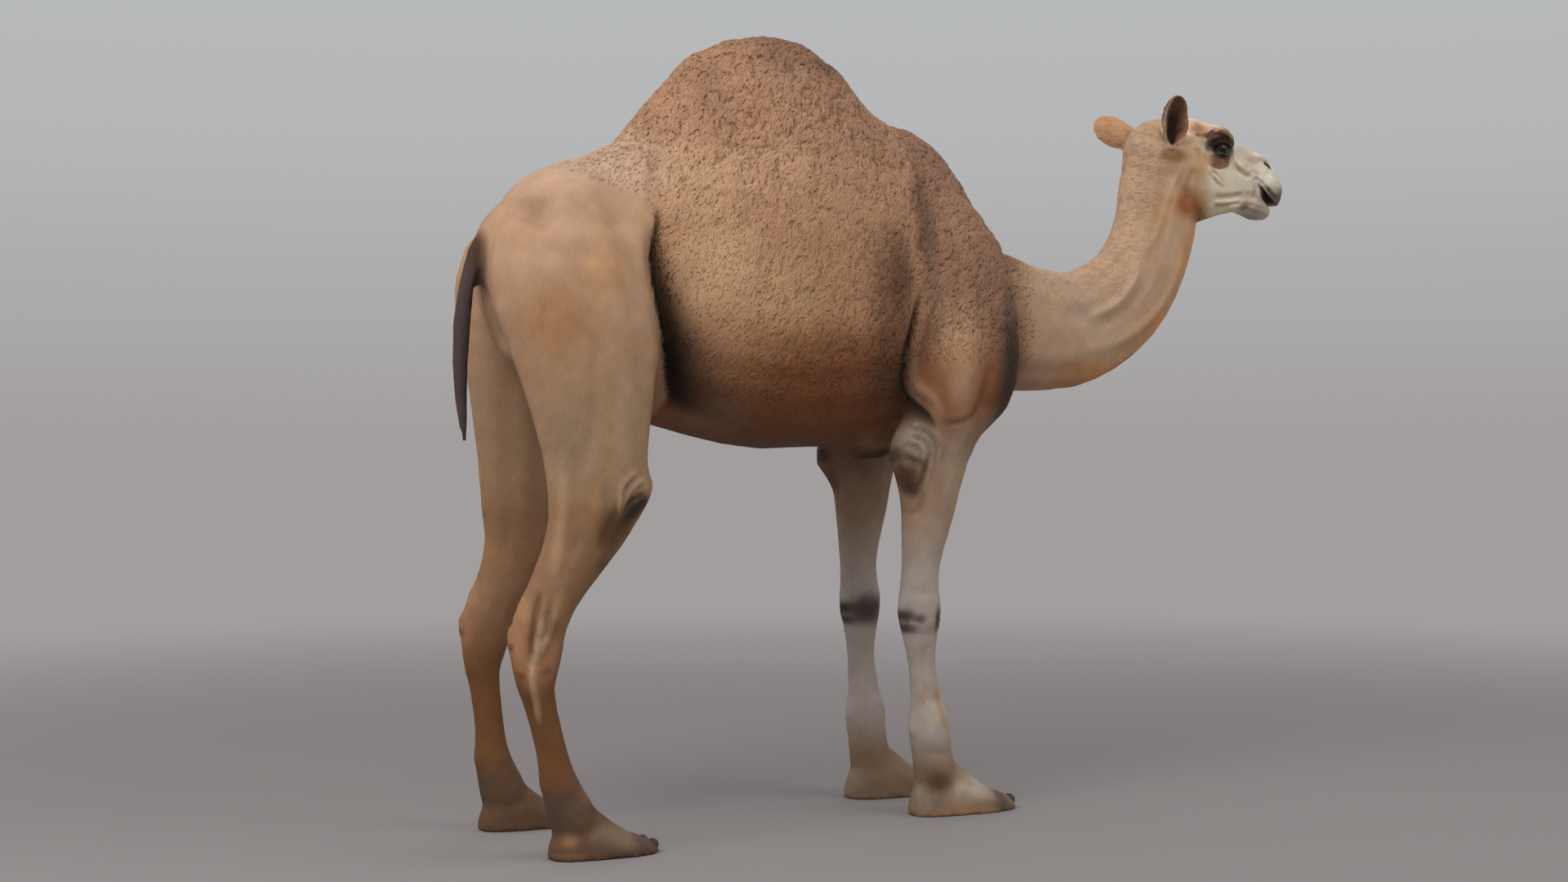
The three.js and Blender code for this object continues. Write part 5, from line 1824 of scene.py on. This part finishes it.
def eyeball(side):
    """A ball with a slightly bulging cornea, looking out along the eye's axis."""
    centre, axis, up, ahead = eye_frame(side)
    around, rings = 48, 30
    tilt = np.linspace(0, math.pi, rings + 2)[1:-1] ** 1.25 / math.pi ** 0.25
    turn = np.arange(around) / around * 2 * math.pi
    radius = EYE_RADIUS * (EYEBALL + CORNEA * np.exp(-(tilt / 0.55) ** 4))
    away = np.sin(tilt)[:, None] * radius[:, None]
    local = np.stack([away * np.cos(turn), away * np.sin(turn),
                      np.repeat((np.cos(tilt) * radius)[:, None], around, 1)], -1).reshape(-1, 3)
    poles = [[0, 0, (EYEBALL + CORNEA) * EYE_RADIUS], [0, 0, -EYEBALL * EYE_RADIUS]]
    local = np.vstack([local, poles])
    co = centre + local[:, :1] * ahead + local[:, 1:2] * up + local[:, 2:] * axis
    faces = tube(rings, around)
    if np.dot(np.cross(ahead, up), axis) >= 0:
        faces = [face[:, ::-1] for face in faces]
    return co, faces, local


class CAMEL_OT_eyes(bpy.types.Operator):
    """The two eyes: glossy balls with a bulging cornea, coloured with iris and pupil"""
    bl_idname = "camel.eyes"
    bl_label = "Eyes"

    def execute(self, context):
        material = eye_material()
        for name, side in SIDES:
            co, faces, local = eyeball(side)
            eye = new_object(f"eyeball_{name}", co, faces, material)
            place = eye.data.attributes.new("iris_place", "FLOAT_VECTOR", "POINT")
            place.data.foreach_set("vector", local.astype(np.float32).ravel())
            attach(eye, "root")
            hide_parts(f"eye_{name}")
        return {"FINISHED"}


def bristles(roots, ways, sag, lengths, radius, steps=5):
    """Thin curved cones from each root, bending towards `sag`."""
    count = len(roots)
    t = np.linspace(0, 1, steps)
    centre = (roots[:, None] + ways[:, None] * t[None, :, None] * lengths[:, None, None]
              + sag[None, None] * (t ** 2)[None, :, None] * lengths[:, None, None] * 0.35)
    side = unit(np.cross(ways, np.array([0.3, 0.2, 1.0])))
    other = np.cross(ways, side)
    turn = np.arange(3) / 3 * 2 * math.pi
    ring = centre[:, :-1, None] + radius * (1 - t[:-1])[None, :, None, None] ** 0.6 * (
        np.cos(turn)[None, None, :, None] * side[:, None, None]
        + np.sin(turn)[None, None, :, None] * other[:, None, None])
    points = np.concatenate([ring.reshape(count, -1, 3), centre[:, :1], centre[:, -1:]], 1)
    return points.reshape(-1, 3), repeated(tube(steps - 1, 3), count, points.shape[1])


# The edges of the lids: where each starts and ends round the eye, in degrees, how far over the
# eyeball it lies and its radii along it, in millimetres.
# The thin pale wet edge on the lower lid is a painted reflection. The other edges take the lids' dark
# colour.
LID_EDGES = {
    "upper": (-4, 184, 2.2, 1.4, 2.6, 3.2, 3.4, 3.2, 2.6, 1.4),
    "lower": (176, 364, 1.6, 1.4, 2.0, 2.4, 2.6, 2.5, 2.1, 1.4),
    "wet": (196, 350, 4.0, 0.4, 0.7, 0.9, 1.0, 1.0, 0.8, 0.4),
}


class CAMEL_OT_lashes(bpy.types.Operator):
    """The smooth edges of the lids, with dark lashes on the upper ones"""
    bl_idname = "camel.lashes"
    bl_label = "Lid edges and lashes"

    def execute(self, context):
        held = context.scene.camel_eyes
        material = lock_material("eyelash", 0.6, 0.3, 0.004)
        wet = lock_material("wet lid", 0.42, 0.2, 0.006)
        rng = np.random.default_rng(context.scene.camel_coat.seed + 5)
        for name, side in SIDES:
            centre, axis, _, _ = eye_frame(side)
            line = lid_line(side, 12, 158, 4 * MM)
            spread = rng.random(held.lash_count) * (len(line) - 1)
            low = spread.astype(int)
            roots = line[low] + (spread - low)[:, None] * (line[low + 1] - line[low])
            roots = roots + rng.normal(size=roots.shape) * 0.0008
            away = unit(roots - centre)
            ways = unit(0.5 * away + axis * 0.55 + np.array([0.12, 0, -0.75])
                        + rng.normal(size=roots.shape) * 0.10)
            lengths = held.lash_length * rng.uniform(0.6, 1.1, len(roots))
            co, faces = bristles(roots, ways, np.array([0.1, -0.3 * -side, 0.25]), lengths, 0.0006)
            lash = new_object(f"lashes_{name}", co, faces, material)
            set_colours(lash.data, palette()["lid"])
            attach(lash, "root")
            for part, (low, high, over, *radii) in LID_EDGES.items():
                co, tri = rope(lid_line(side, low, high, over * MM), np.array(radii) * MM)
                edge = new_object(f"{part}_lid_edge_{name}", co, [tri], wet)
                # The wet edge is coloured pale as a painted reflection on the wet lid.
                set_colours(edge.data, palette()["lid_light" if part == "wet" else "lid"])
                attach(edge, "root")
        return {"FINISHED"}


class CAMEL_OT_toenails(bpy.types.Operator):
    """The eight toenails, rounded and worn, with rings of growth"""
    bl_idname = "camel.toenails"
    bl_label = "Toenails"

    def execute(self, context):
        material = nail_material()
        for node in [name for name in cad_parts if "toenail" in name]:
            end, _, which = node.partition("_toenail_")
            nail = bpy.data.objects.new(f"nail_{end}_{which}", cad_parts[node].data.copy())
            context.scene.collection.objects.link(nail)
            nail.data.materials.clear()
            nail.data.materials.append(material)
            shape = bmesh.new()
            shape.from_mesh(nail.data)
            bmesh.ops.remove_doubles(shape, verts=shape.verts, dist=0.01 * MM)
            shape.to_mesh(nail.data)
            shape.free()
            worn = nail.modifiers.new("worn edges", "REMESH")
            worn.mode = "VOXEL"
            worn.voxel_size = 0.0022
            smooth = nail.modifiers.new("rubbed smooth", "SMOOTH")
            smooth.iterations = 6
            finished = bpy.data.meshes.new_from_object(
                nail.evaluated_get(context.evaluated_depsgraph_get()))
            nail.modifiers.clear()
            nail.data = finished
            finished.polygons.foreach_set("use_smooth", np.full(len(finished.polygons), True))
            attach(nail, "root")
            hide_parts(node)
        return {"FINISHED"}


def area_lamp(name, at, power, size, target, glossy=False):
    data = bpy.data.lights.new(name, "AREA")
    data.energy = power
    data.shape = "DISK"
    data.size = size
    lamp = bpy.data.objects.new(name, data)
    lamp.location = at
    lamp.rotation_euler = (Vector(target) - Vector(at)).to_track_quat("-Z", "Y").to_euler()
    lamp.visible_glossy = glossy
    bpy.context.scene.collection.objects.link(lamp)


def floor_material(held):
    """A matt floor that fades into the backdrop at its edge."""
    material, tree, shader = new_material("studio floor", Roughness=0.95, Specular_IOR_Level=0.0)
    shader.inputs["Base Color"].default_value = (*held.floor, 1)
    place = add(tree, "TexCoord").outputs["Object"]
    away = vector_math(tree, "LENGTH", place)["Value"]
    edge = ranged(tree, away, 2.2, 7.5, 1.0, 0.0, interpolation_type="SMOOTHSTEP")
    tree.links.new(edge, shader.inputs["Alpha"])
    return material


def backdrop(scene, held):
    """An even soft light, and for the eye of the camera a plain pale backdrop."""
    world = bpy.data.worlds.new("studio")
    scene.world = world
    world.use_nodes = True
    tree = world.node_tree
    tree.nodes.clear()
    way = add(tree, "TexCoord").outputs["Generated"]
    height = add(tree, "SeparateXYZ", {0: way}).outputs[2]
    shades = add(tree, "ValToRGB", {0: ranged(tree, height, -0.30, 0.30)})
    stops = shades.color_ramp.elements
    stops[0].position, stops[0].color = 0.50, (*held.sky_low, 1)
    stops[1].position, stops[1].color = 1.0, (*held.sky_high, 1)
    middle_stop = stops.new(0.72)
    middle_stop.color = (*held.sky_middle, 1)
    seen = add(tree, "LightPath")
    shown = calculated(tree, "MAXIMUM", seen.outputs["Is Camera Ray"], seen.outputs["Is Glossy Ray"])
    above = ranged(tree, height, -0.3, 0.9, 0.28, 0.80)
    even = add(tree, "Background", {"Color": above, "Strength": held.fill})
    pale = add(tree, "Background", {"Color": shades.outputs[0], "Strength": 1.0})
    mix = add(tree, "MixShader", {0: shown, 1: even.outputs[0], 2: pale.outputs[0]})
    out = add(tree, "OutputWorld")
    tree.links.new(mix.outputs[0], out.inputs[0])


class CAMEL_OT_stage(bpy.types.Operator):
    """Floor, backdrop, soft lamps and the camera"""
    bl_idname = "camel.stage"
    bl_label = "Studio"

    def execute(self, context):
        scene, held = context.scene, context.scene.camel_stage
        scene.view_settings.view_transform = "Standard"
        turn = np.arange(96) / 96 * 2 * math.pi
        rim = np.stack([np.cos(turn), np.sin(turn), np.zeros(96)], 1)
        rings = np.concatenate([rim * r for r in (0.5, 2.0, 5.0, 9.0, 14.0)] + [[[0, 0, 0]]])
        quads, fans = tube(5, 96)
        floor = new_object("floor", rings - (0, 0, 0.0005), [quads[:, ::-1], fans[:96, ::-1]],
                           floor_material(held))
        backdrop(scene, held)
        target = (0, 0, 1.1)
        area_lamp("key lamp", (-4.44, -1.92, 4.7), held.key, 4.0, target)
        area_lamp("side lamp", (2.6, 4.2, 3.2), held.side, 4.0, target)
        area_lamp("front lamp", (2.0, -3.2, 4.4), held.front, 3.8, target, glossy=True)
        camera = bpy.data.objects.new("camera", bpy.data.cameras.new("camera"))
        camera.data.lens = 50
        camera.data.sensor_width = 36
        camera.location = (-2.99 + AHEAD, -5.15, 1.04)
        camera.rotation_euler = Vector((0.5195, 0.8545, 0)).to_track_quat("-Z", "Y").to_euler()
        scene.collection.objects.link(camera)
        scene.camera = camera
        return {"FINISHED"}


class CAMEL_PT_panel(bpy.types.Panel):
    """Settings and pieces of the camel"""
    bl_label = "Camel"
    bl_idname = "CAMEL_PT_panel"
    bl_space_type = "VIEW_3D"
    bl_region_type = "UI"
    bl_category = "Camel"

    def draw(self, context):
        for name, _ in SETTINGS:
            box = self.layout.box()
            box.label(text=name.replace("_", " ").capitalize())
            held = getattr(context.scene, name)
            for key in held.__annotations__:
                box.prop(held, key)
        for operator in OPERATORS:
            self.layout.operator(operator.bl_idname)


SETTINGS = [("camel_skin", CamelSkinSettings), ("camel_coat", CamelCoatSettings),
            ("camel_colours", CamelColours), ("camel_eyes", CamelEyeSettings),
            ("camel_stage", CamelStageSettings)]
OPERATORS = [CAMEL_OT_skin, CAMEL_OT_wool, CAMEL_OT_body_hair, CAMEL_OT_face_hair, CAMEL_OT_eyes,
             CAMEL_OT_lashes, CAMEL_OT_toenails, CAMEL_OT_stage]


def register():
    for name, group in SETTINGS:
        bpy.utils.register_class(group)
        setattr(bpy.types.Scene, name, bpy.props.PointerProperty(type=group))
    for made in OPERATORS + [CAMEL_PT_panel]:
        bpy.utils.register_class(made)


def unregister():
    for made in [CAMEL_PT_panel] + OPERATORS[::-1]:
        bpy.utils.unregister_class(made)
    for name, group in SETTINGS[::-1]:
        delattr(bpy.types.Scene, name)
        bpy.utils.unregister_class(group)


def main():
    register()
    bpy.ops.camel.stage()
    bpy.ops.camel.skin()
    bpy.ops.camel.wool()
    bpy.ops.camel.body_hair()
    bpy.ops.camel.face_hair()
    bpy.ops.camel.eyes()
    bpy.ops.camel.lashes()
    bpy.ops.camel.toenails()


if __name__ == "__main__":
    main()
